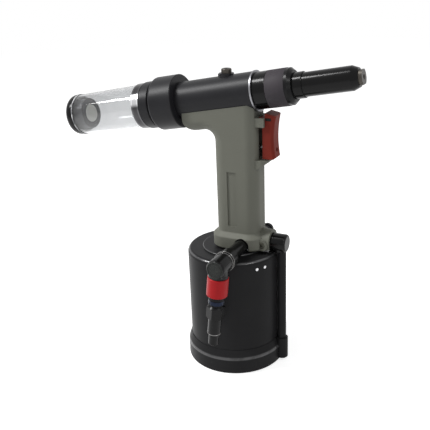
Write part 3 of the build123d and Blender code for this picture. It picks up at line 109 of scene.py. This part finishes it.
class Finish:
    """A material in the making: one shader, and the nodes that feed it."""

    def __init__(self, name, level=0.5, metallic=0.0):
        self.material = bpy.data.materials.new(name)
        self.material.use_nodes = True
        self.tree = self.material.node_tree
        self.shader = self.tree.nodes["Principled BSDF"]
        self.set(Specular_IOR_Level=level, Metallic=metallic)

    def add(self, kind, settings=None, sockets=None, output=0):
        """A node of any type: its settings first, then the values or links of its sockets."""
        node = self.tree.nodes.new(kind)
        for key, value in (settings or {}).items():
            setattr(node, key, value)
        for key, value in (sockets or {}).items():
            self.feed(node.inputs[key], value)
        return Mask(self, node.outputs[output])

    def feed(self, socket, value):
        """A link to a socket if the value is a mask, or else a constant on it."""
        if isinstance(value, Mask):
            self.tree.links.new(value.socket, socket)
        else:
            socket.default_value = value

    def set(self, **sockets):
        """Values or links of the shader's own sockets, with _ for the space in a name."""
        for key, value in sockets.items():
            self.feed(self.shader.inputs[key.replace("_", " ")], value)

    def place(self):
        """Object coordinates, in metres, which stick to a piece as it moves."""
        return self.add("ShaderNodeTexCoord", output=3)

    def noise(self, scale, detail=3.0, roughness=0.5, stretch=None):
        vector = self.place()
        if stretch:
            vector = self.add("ShaderNodeMapping", None, {0: vector, 3: stretch})
        return self.add("ShaderNodeTexNoise", None, {
            "Vector": vector, "Scale": scale, "Detail": detail, "Roughness": roughness})

    def grains(self, scale):
        """Small cells, dark in their middles."""
        return self.add("ShaderNodeTexVoronoi", None, {"Vector": self.place(), "Scale": scale})

    def between(self, value, low, high):
        """A smooth step from 0 to 1 as value goes from low to high."""
        return self.add("ShaderNodeMapRange", {"interpolation_type": "SMOOTHSTEP"}, {
            0: value, 1: low, 2: high, 3: 0.0, 4: 1.0})

    def split(self, vector):
        """The three numbers of a vector."""
        parts = self.add("ShaderNodeSeparateXYZ", None, {0: vector}).socket.node
        return [Mask(self, parts.outputs[axis]) for axis in "XYZ"]

    def on_head(self):
        """How far down from the head's axis a point is, how far beside, and how far along."""
        turned_place = self.add("ShaderNodeMapping", {"vector_type": "TEXTURE"}, {
            0: self.place(), 1: HEAD_MIDDLE, 2: (0.0, math.pi / 2 - HEAD_TILT, 0.0)})
        return self.split(turned_place)

    def mix(self, share, first, second):
        """A colour between two colours."""
        return self.add("ShaderNodeMix", {"data_type": "RGBA"}, {0: share, 6: first, 7: second},
                        output=2)

    def bump(self, height, strength, distance):
        """Relief from a mask, over a distance in millimetres."""
        normal = self.add("ShaderNodeBump", None, {
            "Height": height, "Strength": strength, "Distance": distance * MM})
        self.set(Normal=normal)


def tint(red, green, blue):
    """A colour as it is read off a picture, 0 to 255, made linear for the shader."""
    def linear(value):
        value /= 255
        return value / 12.92 if value <= 0.04045 else ((value + 0.055) / 1.055) ** 2.4
    return (linear(red), linear(green), linear(blue), 1.0)


# %% [markdown]
# ## The camera
# The photograph was taken from the air inlet's side, a little above the middle of the tool.
# The place, the angles and the lens were worked out from the ellipses of the round pieces,
# and the picture leans by two degrees, so the camera is rolled by as much.

# %% The camera
CAMERA_PLACE = Vector((0.28604, -0.61033, 0.42124))
CAMERA_AZIMUTH = math.radians(26.76)
CAMERA_HEIGHT = math.radians(20.89)
CAMERA_ROLL = math.radians(-2.2)
LENS_MM = 56.57
SENSOR_MM = 36.0


def aim(azimuth, height, roll):
    """The camera's rotation: its right, up and back directions as columns."""
    back = Vector((math.sin(azimuth) * math.cos(height), -math.cos(azimuth) * math.cos(height),
                   math.sin(height)))
    right = Vector((math.cos(azimuth), math.sin(azimuth), 0))
    up = back.cross(right)
    rolled_right = math.cos(roll) * right + math.sin(roll) * up
    rolled_up = -math.sin(roll) * right + math.cos(roll) * up
    return Matrix((rolled_right, rolled_up, back)).transposed()


camera_data = bpy.data.cameras.new("camera")
camera_data.sensor_width = SENSOR_MM
camera_data.lens = LENS_MM
camera = bpy.data.objects.new("camera", camera_data)
camera.matrix_world = (Matrix.Translation(CAMERA_PLACE)
                       @ aim(CAMERA_AZIMUTH, CAMERA_HEIGHT, CAMERA_ROLL).to_4x4())
bpy.context.scene.collection.objects.link(camera)
bpy.context.scene.camera = camera
bpy.context.scene.view_settings.view_transform = "Standard"
print("camera at", [round(value, 3) for value in CAMERA_PLACE])

# %% [markdown]
# ## The studio
# The photograph is a tool cut out on plain white: its blacks are deep, and a tall lamp above
# draws a soft streak along every round piece. So the world is white for whoever looks at it,
# straight, through the clear bottle or in a reflection, but it sheds only a modest light,
# and the lamps do the rest.

# %% The white world
WORLD_LIGHT = 0.3


def seen_share(tree):
    """1 for rays that show the background: the camera's, reflections and clear plastic."""
    path = tree.nodes.new("ShaderNodeLightPath")
    total = path.outputs["Is Camera Ray"]
    for ray in ("Is Glossy Ray", "Is Transmission Ray"):
        either = tree.nodes.new("ShaderNodeMath")
        either.operation = "MAXIMUM"
        tree.links.new(total, either.inputs[0])
        tree.links.new(path.outputs[ray], either.inputs[1])
        total = either.outputs[0]
    return total


world = bpy.data.worlds.new("studio")
world.use_nodes = True
bpy.context.scene.world = world
sky = world.node_tree.nodes["Background"]
sky.inputs["Color"].default_value = (1, 1, 1, 1)
strength = world.node_tree.nodes.new("ShaderNodeMix")
strength.inputs["A"].default_value = WORLD_LIGHT
strength.inputs["B"].default_value = 1.0
world.node_tree.links.new(seen_share(world.node_tree), strength.inputs["Factor"])
world.node_tree.links.new(strength.outputs["Result"], sky.inputs["Strength"])
print("the world sheds", WORLD_LIGHT)

# %% [markdown]
# The paper under the tool keeps the tool's soft shadow. Where the camera or a reflection
# looks at it, a little glow of its own is added, which lifts the lit paper to white and
# leaves only the shadow to be seen. The paper lies a hair below the tool, so that no two
# faces share a place.

# %% The floor
FLOOR_GLOW = 0.72
FLOOR_RADIUS = 3.0
FLOOR_DROP = 0.2 * MM
PAPER_DARK = (0.78, 0.78, 0.78, 1)
PAPER_LIGHT = (0.82, 0.82, 0.82, 1)

bpy.ops.mesh.primitive_circle_add(vertices=96, radius=FLOOR_RADIUS, fill_type="NGON",
                                  location=(0, 0, -FLOOR_DROP))
floor = bpy.context.object
floor.name = "floor"
paper = Finish("white paper", level=0.0)
fibres = paper.noise(140.0, detail=4.0)
glow = Mask(paper, seen_share(paper.tree)) * FLOOR_GLOW
paper.set(Base_Color=paper.mix(fibres, PAPER_DARK, PAPER_LIGHT), Roughness=0.9,
          Emission_Color=glow, Emission_Strength=1.0)
floor.data.materials.append(paper.material)
print("floor", 2 * FLOOR_RADIUS, "metres across")

# %% [markdown]
# The tall lamp stands above the tool's rear, on the inlet's side. A narrow one in front
# brightens the upper edges, and a small one gives the nose some light from the front.

# %% The lamps
LOOK_AT = Vector((0, 0, 0.2))


def softbox(name, place, width, height, power):
    """A rectangular lamp that points at the middle of the tool."""
    data = bpy.data.lights.new(name, "AREA")
    data.shape = "RECTANGLE"
    data.size = width
    data.size_y = height
    data.energy = power
    lamp = bpy.data.objects.new(name, data)
    lamp.location = place
    lamp.rotation_euler = (LOOK_AT - Vector(place)).to_track_quat("-Z", "Y").to_euler()
    bpy.context.scene.collection.objects.link(lamp)
    print(name, "has a radiance of", round(power / (math.pi * width * height), 1))


softbox("streak lamp", (-0.97, -0.53, 1.46), 0.25, 0.9, 28.0)
softbox("edge lamp", (0.95, -0.35, 1.15), 0.5, 0.12, 3.0)
softbox("nose lamp", (1.3, -0.9, 0.6), 0.5, 0.5, 2.0)

# %% [markdown]
# ## The finishes
# Each node of the CAD model gets one finish. They all read Object coordinates, so a grain
# is as large on a small screw as on the cylinder. Most of them follow one pattern: a cloudy
# noise leads the colour from a dark to a light tone and the roughness a little up and down,
# and a finer noise gives the surface its relief.
#
# The enamel of the cylinder and of the base cap has a painted highlight along their upper edges:
# a lighter colour in a band, with a clear coat on it. An edge is given by its radius, its height
# and the width of the band, in millimetres.

# %% Black enamel
ROOF_EDGE = (48.6, 128.0, 1.6)
ROOF_STEP_EDGE = (33.5, 130.8, 0.9)
CAP_EDGE = (53.4, 18.0, 2.3)


def rim_band(finish, radius, height, width):
    """1 in a band round an upright piece's edge, and 0 elsewhere."""
    across, side, up = finish.split(finish.place())
    out = (across * across + side * side) ** 0.5
    gap = (out - radius * MM) * (out - radius * MM) + (up - height * MM) * (up - height * MM)
    return 1 - finish.between(gap ** 0.5, width * MM / 3, width * MM)


def black_enamel(name="black enamel", edges=()):
    """Satin stoving enamel: nearly black, with a painted highlight and a clear coat along the
    given edges.
    """
    finish = Finish(name, level=0.05)
    cloud = finish.noise(30.0, detail=2.0)
    colour = finish.mix(cloud, tint(32, 32, 33), tint(39, 39, 40))
    if edges:
        band = rim_band(finish, *edges[0])
        for edge in edges[1:]:
            band = band + rim_band(finish, *edge)
        # painted highlight: a lighter colour in the band round each edge, under a clear coat
        painted_edge_highlight = band * finish.between(finish.noise(60.0), 0.3, 0.6)
        colour = finish.mix(0.28 * painted_edge_highlight, colour, tint(120, 120, 122))
        finish.set(Coat_Weight=0.8 * band, Coat_Roughness=0.18)
    finish.set(Base_Color=colour, Roughness=0.3 + 0.14 * cloud)
    finish.bump(finish.noise(420.0, detail=2.0), strength=0.1, distance=0.3)
    return finish.material


# %% [markdown]
# The head's barrel is black anodised alloy, and its front, the inlet and the valve's elbow
# are polished black. The red sleeve of the shut-off valve is anodised too.

# %% Black and red metal


def barrel_black():
    """Black anodised alloy: satin, with a very fine grain."""
    finish = Finish("barrel black", level=0.15)
    cloud = finish.noise(45.0)
    finish.set(Base_Color=finish.mix(cloud, tint(27, 27, 29), tint(35, 35, 38)),
               Roughness=0.32 + 0.1 * cloud)
    finish.bump(finish.noise(900.0, detail=2.0), strength=0.1, distance=0.15)
    return finish.material


def gloss_black(name="gloss black", level=0.15, rough=0.14):
    """Blackened and polished: deep black with a clear streak of light."""
    finish = Finish(name, level=level)
    cloud = finish.noise(60.0, detail=2.0)
    finish.set(Base_Color=finish.mix(cloud, tint(6, 6, 6), tint(11, 11, 12)),
               Roughness=rough + 0.07 * cloud)
    return finish.material


def red_anodised():
    """Bright red anodised alloy."""
    finish = Finish("red anodised", level=0.15, metallic=0.1)
    cloud = finish.noise(80.0)
    finish.set(Base_Color=finish.mix(cloud, tint(150, 14, 20), tint(172, 24, 29)),
               Roughness=0.32 + 0.15 * cloud)
    return finish.material


# %% [markdown]
# The grip sleeve is one piece with two looks: matte grey where it is knurled, and smooth
# black on its shoulder. The border is a distance along the head, in millimetres.

# %% The grip sleeve
KNURL_END = 64.5
BORDER = 0.2


def grip_grey():
    """Matte grey up to the knurling's end, and smooth black in front of it."""
    finish = Finish("grip grey", level=0.12)
    cloud = finish.noise(50.0)
    *_, along = finish.on_head()
    shoulder = finish.between(along, (KNURL_END - BORDER) * MM, (KNURL_END + BORDER) * MM)
    grey = finish.mix(cloud, tint(56, 53, 57), tint(68, 64, 68))
    finish.set(Base_Color=finish.mix(shoulder, grey, tint(20, 20, 21)),
               Roughness=0.5 + 0.1 * cloud - 0.3 * shoulder)
    finish.bump(finish.noise(900.0, detail=2.0), strength=0.15, distance=0.15)
    return finish.material


# %% [markdown]
# The mouldings share a fine spark-eroded grain. The handle is grey-olive, the trigger brick
# red, and the small black mouldings and the rubber are darker and plainer.

# %% Mouldings and rubber


def shell_plastic():
    """Grey-olive moulding with a fine spark-eroded grain."""
    finish = Finish("shell plastic", level=0.3)
    cloud = finish.noise(22.0)
    grain = finish.noise(1100.0, roughness=0.6)
    finish.set(Base_Color=finish.mix(cloud, tint(95, 96, 87), tint(104, 105, 96)),
               Roughness=0.5 + 0.16 * grain)
    finish.bump(grain, strength=0.3, distance=0.2)
    return finish.material


def trigger_plastic():
    """Brick-red moulding with a fine grain."""
    finish = Finish("trigger plastic", level=0.07)
    cloud = finish.noise(60.0)
    grain = finish.noise(1000.0)
    finish.set(Base_Color=finish.mix(cloud, tint(104, 38, 30), tint(122, 46, 37)),
               Roughness=0.38 + 0.2 * grain)
    finish.bump(grain, strength=0.2, distance=0.15)
    return finish.material


def rubber():
    """Matte black rubber."""
    finish = Finish("rubber", level=0.2)
    cloud = finish.noise(90.0, detail=4.0)
    finish.set(Base_Color=finish.mix(cloud, tint(20, 20, 20), tint(30, 30, 30)),
               Roughness=0.75 + 0.2 * cloud)
    finish.bump(finish.noise(900.0), strength=0.3, distance=0.2)
    return finish.material


def nylon():
    """Plain black nylon."""
    finish = Finish("nylon", level=0.3)
    cloud = finish.noise(150.0)
    finish.set(Base_Color=finish.mix(cloud, tint(22, 22, 24), tint(34, 34, 37)),
               Roughness=0.4 + 0.2 * cloud)
    return finish.material


# %% [markdown]
# All bare metal is one finish with other tones and another roughness. The ring at the bottle's
# mouth is more particular: it has a groove between two edges, a painted highlight in a strip on
# its upper half, and painted shade elsewhere. The edges' borders are distances along the head.
# The strip's are distances down from the head's axis, so they are negative above it. All are in
# millimetres.

# %% Bare metal
RING_REAR_EDGE = (-102.0, -102.6)
RING_FRONT_EDGE = (-97.2, -96.8)
HIGHLIGHT_FROM = (-2.0, -7.0)
HIGHLIGHT_TO = (-13.5, -16.5)


def steel(name, dark, light, rough):
    """Turned metal: fine tool marks and a little stain."""
    finish = Finish(name, metallic=1.0)
    cloud = finish.noise(120.0, detail=4.0)
    marks = finish.noise(700.0, detail=2.0, stretch=(1.0, 1.0, 8.0))
    finish.set(Base_Color=finish.mix(cloud, dark, light), Roughness=rough - 0.06 + 0.2 * marks)
    finish.bump(marks, strength=0.12, distance=0.08)
    return finish.material


def ring_steel():
    """Polished ring, a groove between two edges: a painted highlight in a strip, painted shade
    elsewhere.
    """
    finish = Finish("ring steel", metallic=1.0)
    down, _, along = finish.on_head()
    cloud = finish.noise(120.0, detail=4.0)

    def past(distance, border):
        return finish.between(distance, border[0] * MM, border[1] * MM)

    on_edge = past(along, RING_REAR_EDGE) + past(along, RING_FRONT_EDGE)
    # painted highlight on a strip of the upper half, and painted shade on the rest of the ring
    highlight_strip = past(down, HIGHLIGHT_FROM) - past(down, HIGHLIGHT_TO)
    painted_shade_tone = finish.mix(cloud, tint(50, 49, 50), tint(78, 77, 79))
    groove = finish.mix(0.8 * highlight_strip, painted_shade_tone, tint(214, 214, 216))
    edge = finish.mix(highlight_strip, tint(86, 86, 88), tint(226, 226, 228))
    finish.set(Base_Color=finish.mix(on_edge, groove, edge), Roughness=0.1 + 0.12 * cloud)
    return finish.material


# %% [markdown]
# The bottle is clear, and the thread of its end plug shows through it as dark turns. Behind
# the bottle's end the plug is black. In its middle sits a porous disc that lets the air out.

# %% The bottle and its plug
HALF_THREAD_PITCH = 1.2 * MM
PLUG_OUTSIDE = (-189.6, -190.2)


def clear_plastic():
    """Clear moulded bottle, slightly smoky with oil mist."""
    finish = Finish("clear plastic", level=0.3)
    haze = finish.noise(40.0)
    finish.set(Base_Color=finish.mix(haze, tint(211, 212, 213), tint(221, 222, 223)),
               Roughness=0.02 + 0.05 * haze, Transmission_Weight=1.0, IOR=1.45)
    return finish.material


def end_plug():
    """End plug of the bottle: grey with dark turns inside it, and black outside."""
    finish = Finish("end plug", level=0.3)
    cloud = finish.noise(70.0)
    *_, along = finish.on_head()
    outside = finish.between(along, PLUG_OUTSIDE[0] * MM, PLUG_OUTSIDE[1] * MM)
    thread = finish.add("ShaderNodeMath", {"operation": "PINGPONG"}, {
        0: along, 1: HALF_THREAD_PITCH}) / HALF_THREAD_PITCH
    grey = finish.mix(cloud, tint(112, 112, 114), tint(132, 132, 134))
    turns = finish.mix(0.6 * thread, grey, tint(52, 52, 54))
    finish.set(Base_Color=finish.mix(outside, turns, tint(16, 16, 17)),
               Roughness=0.26 + 0.15 * cloud)
    return finish.material


def porous_grey():
    """Sintered disc of pale grains."""
    finish = Finish("porous grey")
    grains = finish.grains(1500.0)
    finish.set(Base_Color=finish.mix(grains, tint(252, 252, 246), tint(214, 214, 206)),
               Roughness=0.9)
    finish.bump(grains, strength=0.6, distance=0.4)
    return finish.material


# %% [markdown]
# The record says which slot each node takes its finish from, so the finishes are made once
# for each slot and handed to every node that names it. A few nodes look different from the
# rest of their slot in the photograph, and those have a finish of their own.

# %% Finishes on the nodes
FINISHES = {
    "black_enamel": black_enamel(),
    "rubber": rubber(),
    "shell_plastic": shell_plastic(),
    "trigger_plastic": trigger_plastic(),
    "red_anodised": red_anodised(),
    "barrel_black": barrel_black(),
    "grip_grey": grip_grey(),
    "gloss_black": gloss_black(),
    "dark_steel": steel("dark steel", tint(52, 49, 46), tint(80, 77, 72), 0.36),
    "bright_steel": steel("bright steel", tint(186, 186, 188), tint(212, 212, 214), 0.25),
    "hard_steel": steel("hard steel", tint(120, 118, 116), tint(140, 138, 134), 0.35),
    "light_alloy": steel("light alloy", tint(180, 181, 184), tint(200, 201, 205), 0.35),
    "brass": steel("brass", tint(168, 136, 72), tint(190, 158, 92), 0.3),
    "clear": clear_plastic(),
    "nylon": nylon(),
    "filter_grey": porous_grey(),
}
inlet_black = gloss_black("inlet black", 0.16, 0.2)
NODE_FINISHES = {
    "air_cylinder": black_enamel("cylinder enamel", (ROOF_EDGE, ROOF_STEP_EDGE)),
    "base_cap": black_enamel("base enamel", (CAP_EDGE,)),
    "bottle_end_cap": end_plug(),
    "bottle_ring": ring_steel(),
    "front_cap": FINISHES["gloss_black"],
    "nose_ring": FINISHES["gloss_black"],
    "valve_elbow": FINISHES["gloss_black"],
    "trigger_pin": FINISHES["shell_plastic"],
    "face_ring": steel("face alloy", tint(112, 112, 115), tint(144, 144, 148), 0.3),
    "handle_screw": steel("screw grey", tint(70, 72, 64), tint(104, 105, 94), 0.4),
    "coupling_ring": steel("ring teeth", tint(14, 17, 24), tint(42, 48, 64), 0.3),
    "inlet_stub": inlet_black,
    "coupling_nut": inlet_black,
    "hose_tail": inlet_black,
}

for subpart in frame["record"]["subparts"]:
    name, slot = subpart["node"], subpart["material_slot"]
    materials = nodes[name].data.materials
    materials.clear()
    materials.append(NODE_FINISHES.get(name, FINISHES[slot]))
print("slots", len(FINISHES), "nodes with their own finish", len(NODE_FINISHES))

# %% [markdown]
# ## Turned pieces
# The air inlet's elbow, the beads on it, the two rings at the bottle's end and the knurled
# band are turned pieces. A disc is a good start for them: it is extruded along its axis and
# resized at each step of its profile. For a ring, the end discs and the discs between the
# steps are taken out and the two open rims bridged, which leaves a bore.

# %% Helpers for turned pieces
ROUND = 64
SMOOTH_BELOW = math.radians(32)
WELD = 0.001 * MM


def in_edit_mode(action):
    """Edit mode with all of the piece selected or nothing, as the action says."""
    bpy.ops.object.mode_set(mode="EDIT")
    bpy.ops.mesh.select_all(action=action)


def finished(piece, finish, body):
    """Clean a piece up, smooth it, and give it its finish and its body."""
    bpy.ops.object.select_all(action="DESELECT")
    piece.select_set(True)
    bpy.context.view_layer.objects.active = piece
    in_edit_mode("SELECT")
    bpy.ops.mesh.remove_doubles(threshold=WELD)
    bpy.ops.mesh.normals_make_consistent(inside=False)
    bpy.ops.object.mode_set(mode="OBJECT")
    bpy.ops.object.transform_apply(location=True, rotation=True, scale=True)
    bpy.ops.object.shade_smooth_by_angle(angle=SMOOTH_BELOW)
    piece.data.materials.clear()
    piece.data.materials.append(finish)
    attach(piece, body)
    print(piece.name, "has", len(piece.data.polygons), "faces")


def turned(name, origin, axis, profile, bored=False, corners=ROUND):
    """A piece turned about an axis, from the radius and the distance of each step, in mm."""
    radius, along = profile[0]
    bpy.ops.object.select_all(action="DESELECT")
    bpy.ops.mesh.primitive_circle_add(
        vertices=corners, radius=radius * MM, fill_type="NGON",
        location=origin + along * MM * axis, rotation=axis.to_track_quat("Z", "Y").to_euler())
    piece = bpy.context.object
    piece.name = name
    bpy.ops.object.transform_apply(location=True, rotation=True, scale=True)
    in_edit_mode("SELECT")
    for next_radius, next_along in profile[1:]:
        step = (next_along - along) * MM * axis
        bpy.ops.mesh.extrude_region_move(TRANSFORM_OT_translate={"value": step})
        bpy.ops.transform.resize(value=[next_radius / radius] * 3,
                                 center_override=origin + next_along * MM * axis)
        radius, along = next_radius, next_along
    if bored:
        bpy.ops.object.mode_set(mode="OBJECT")
        for face in piece.data.polygons:
            face.select = len(face.vertices) == corners
        bpy.ops.object.mode_set(mode="EDIT")
        bpy.ops.mesh.delete(type="FACE")
        bpy.ops.mesh.select_all(action="DESELECT")
        bpy.ops.mesh.select_non_manifold()
        bpy.ops.mesh.bridge_edge_loops()
    bpy.ops.mesh.select_all(action="SELECT")
    bpy.ops.mesh.normals_make_consistent(inside=False)
    bpy.ops.object.mode_set(mode="OBJECT")
    return piece


# %% [markdown]
# ## The elbow of the air inlet
# The real elbow is a short black barrel with two turned rings, closed by a rough round end,
# and the leg hangs from under it. The CAD elbow is a plain mitred pipe, so this piece stands
# for it: two turned solids, joined with a boolean, the lower one bored for the leg's tube.
# The arm's distances run from the tool's middle plane, and the hub's from the point where
# the leg's axis meets the arm's.

# %% The elbow
LEG_LEAN = math.radians(6.3)
LEG_START = Vector((18.5, -75.5, 138.9)) * MM
LEG_AXIS = Vector((-math.sin(LEG_LEAN), 0, -math.cos(LEG_LEAN)))
ARM_START = Vector((18.5, 0, 138.9)) * MM
ARM_AXIS = Vector((0, -1, 0))
ARM_PROFILE = ((4.5, 12.5), (4.5, 60.3), (9.7, 60.3), (10.3, 60.9), (10.3, 62.6), (9.6, 62.9),
               (9.6, 63.7), (10.3, 64.0), (10.3, 65.7), (9.8, 66.1), (9.8, 82.6), (9.5, 84.1),
               (8.8, 85.2), (7.9, 85.7), (7.4, 85.2), (7.1, 85.2), (6.6, 85.6), (3.0, 85.8))
HUB_PROFILE = ((9.9, 0.5), (9.9, 7.6), (10.3, 8.0), (10.3, 10.0), (9.8, 10.6), (6.45, 10.6),
               (6.45, 5.6))
ROUGH_FROM = (-85.05, -85.25)


def elbow_black():
    """The inlet's gloss black, rough and paler on the elbow's round end."""
    finish = Finish("elbow black", level=0.16)
    cloud = finish.noise(60.0, detail=2.0)
    _, side, _ = finish.split(finish.place())
    rough_end = finish.between(side, ROUGH_FROM[0] * MM, ROUGH_FROM[1] * MM)
    grains = finish.grains(900.0)
    black = finish.mix(cloud, tint(9, 9, 9), tint(15, 15, 16))
    grey = finish.mix(grains, tint(26, 28, 27), tint(54, 56, 54))
    finish.set(Base_Color=finish.mix(rough_end, black, grey),
               Roughness=0.17 + 0.07 * cloud + 0.4 * rough_end)
    finish.bump(grains * rough_end, strength=0.6, distance=0.4)
    return finish.material


elbow = turned("elbow_barrel", ARM_START, ARM_AXIS, ARM_PROFILE)
hub = turned("elbow_hub", LEG_START, LEG_AXIS, HUB_PROFILE)
union = elbow.modifiers.new("hub", "BOOLEAN")
union.operation = "UNION"
union.object = hub
bpy.ops.object.select_all(action="DESELECT")
bpy.context.view_layer.objects.active = elbow
bpy.ops.object.modifier_apply(modifier=union.name)
bpy.data.objects.remove(hub)
finished(elbow, elbow_black(), "inlet_leg")
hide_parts("inlet_elbow")

# %% [markdown]
# Thin bright beads mark the elbow's two rings, and the place where the hose tail leaves the
# coupling. They are one shape at two sizes.

# %% The beads
BEAD_PROFILE = ((0.0, -0.5), (0.35, -0.45), (0.55, -0.15), (0.55, 0.15), (0.35, 0.45),
                (0.0, 0.5))
ARM_BEAD_BORE = 10.15
TAIL_BEAD_BORE = 6.6
bead_steel = steel("bead steel", tint(96, 95, 94), tint(128, 127, 126), 0.2)


def bead(name, origin, axis, bore, along):
    """A small half-round bead on a round bar, its middle at a distance along the bar."""
    profile = [(bore + rise, along + place) for rise, place in BEAD_PROFILE]
    ring = turned(name, origin, axis, profile, bored=True)
    finished(ring, bead_steel, "inlet_leg")


bead("elbow_bead_inner", ARM_START, ARM_AXIS, ARM_BEAD_BORE, 61.6)
bead("elbow_bead_outer", ARM_START, ARM_AXIS, ARM_BEAD_BORE, 65.0)
bead("tail_bead", LEG_START, LEG_AXIS, TAIL_BEAD_BORE, 75.3)

# %% [markdown]
# ## The bottle's end
# The bottle's clear shoulder is held in a rounded black rim, and a pale ring with cloudy specks,
# a painted highlight, marks where the plastic ends under it. The CAD bottle and its end cap
# stay, and both rings go round them.

# %% The rim and the painted highlight line
RIM_PROFILE = ((18.4, -190.1), (20.4, -189.8), (21.4, -188.9), (21.9, -187.4), (21.95, -185.2),
               (22.3, -185.2), (22.4, -185.6), (22.35, -189.6), (21.9, -191.6), (20.9, -193.3),
               (19.6, -194.3), (18.4, -194.5))
LIP_PROFILE = ((21.95, -185.1), (22.3, -185.1), (22.45, -184.9), (22.45, -184.3),
               (22.3, -184.1), (21.95, -184.1))


def lip_highlight_paint():
    """A pale ring with cloudy specks, painted as a highlight."""
    finish = Finish("lip painted highlight")
    cloud = finish.noise(160.0)
    # painted highlight: the pale specks stand for light caught on the bottle's end edge
    pale = finish.between(cloud, 0.4, 0.6)
    finish.set(Base_Color=finish.mix(pale, tint(130, 131, 134), tint(226, 227, 229)),
               Roughness=0.15 + 0.2 * cloud)
    return finish.material


bottle_rim = turned("bottle_rim", HEAD_MIDDLE, HEAD_FORWARD, RIM_PROFILE, bored=True)
finished(bottle_rim, FINISHES["gloss_black"], "collector")
bottle_lip = turned("bottle_lip", HEAD_MIDDLE, HEAD_FORWARD, LIP_PROFILE, bored=True)
finished(bottle_lip, lip_highlight_paint(), "collector")

# %% [markdown]
# ## The knurled band
# The grip sleeve is knurled as far as its smooth shoulder. The CAD sleeve is plain, so a thin
# ring lies on it, its bore just under the sleeve's surface, and every other row of the ring's
# corners is raised to a ridge.

# %% The knurled band
KNURLS = 110
KNURL_ROOT = 18.1
KNURL_HEIGHT = 0.24
KNURL_PROFILE = ((17.8, 45.3), (18.03, 45.3), (KNURL_ROOT, 45.7), (KNURL_ROOT, 64.1),
                 (18.03, KNURL_END), (17.8, KNURL_END))
ROOT_FROM = 18.07 * MM

knurled_band = turned("knurled_band", HEAD_MIDDLE, HEAD_FORWARD, KNURL_PROFILE, bored=True,
                      corners=2 * KNURLS)
in_edit_mode("DESELECT")
bpy.ops.object.mode_set(mode="OBJECT")
for corner in knurled_band.data.vertices:
    spoke = corner.co - HEAD_MIDDLE
    up, side = spoke.dot(HEAD_UP), spoke.y
    on_ridge = round(math.atan2(side, up) * KNURLS / math.pi) % 2 == 0
    corner.select = on_ridge and math.hypot(up, side) > ROOT_FROM
bpy.ops.object.mode_set(mode="EDIT")
bpy.ops.transform.shrink_fatten(value=KNURL_HEIGHT * MM)
bpy.ops.object.mode_set(mode="OBJECT")
finished(knurled_band, FINISHES["grip_grey"], "housing")

# %% [markdown]
# ## The trigger's clips
# A small black clip sits in the slot on each side of the trigger's head, as painted shade where
# the slot lies in shadow. It starts as a cube that is bevelled, and its outer face is inset and
# pushed in a little.

# %% The clips
CLIP_X = 44.4
CLIP_Y = 8.1
CLIP_Z = 271.5
CLIP_SIZE = (5.6, 1.9, 2.6)
CLIP_BEVEL = 0.25 * MM
CLIP_RIM = 0.4 * MM
CLIP_DIP = 0.25 * MM
FACING = 0.99


def slot_shade_clip(label, side):
    """The clip on one side, where side is 1 for left and -1 for right."""
    bpy.ops.object.select_all(action="DESELECT")
    bpy.ops.mesh.primitive_cube_add(
        size=MM, location=Vector((CLIP_X, side * CLIP_Y, CLIP_Z)) * MM)
    clip = bpy.context.object
    clip.name = "slot_shade_clip_" + label
    clip.scale = CLIP_SIZE
    bpy.ops.object.transform_apply(location=True, rotation=True, scale=True)
    in_edit_mode("SELECT")
    bpy.ops.mesh.bevel(offset=CLIP_BEVEL, segments=2, affect="EDGES")
    bpy.ops.mesh.select_all(action="DESELECT")
    bpy.ops.object.mode_set(mode="OBJECT")
    for face in clip.data.polygons:
        face.select = face.normal.y * side > FACING
    bpy.ops.object.mode_set(mode="EDIT")
    bpy.ops.mesh.inset(thickness=CLIP_RIM, depth=-CLIP_DIP)
    bpy.ops.object.mode_set(mode="OBJECT")
    finished(clip, FINISHES["rubber"], "trigger")


# painted shade: the black clips stand for the shadow in the trigger's slots
slot_shade_clip("right", -1)
slot_shade_clip("left", 1)
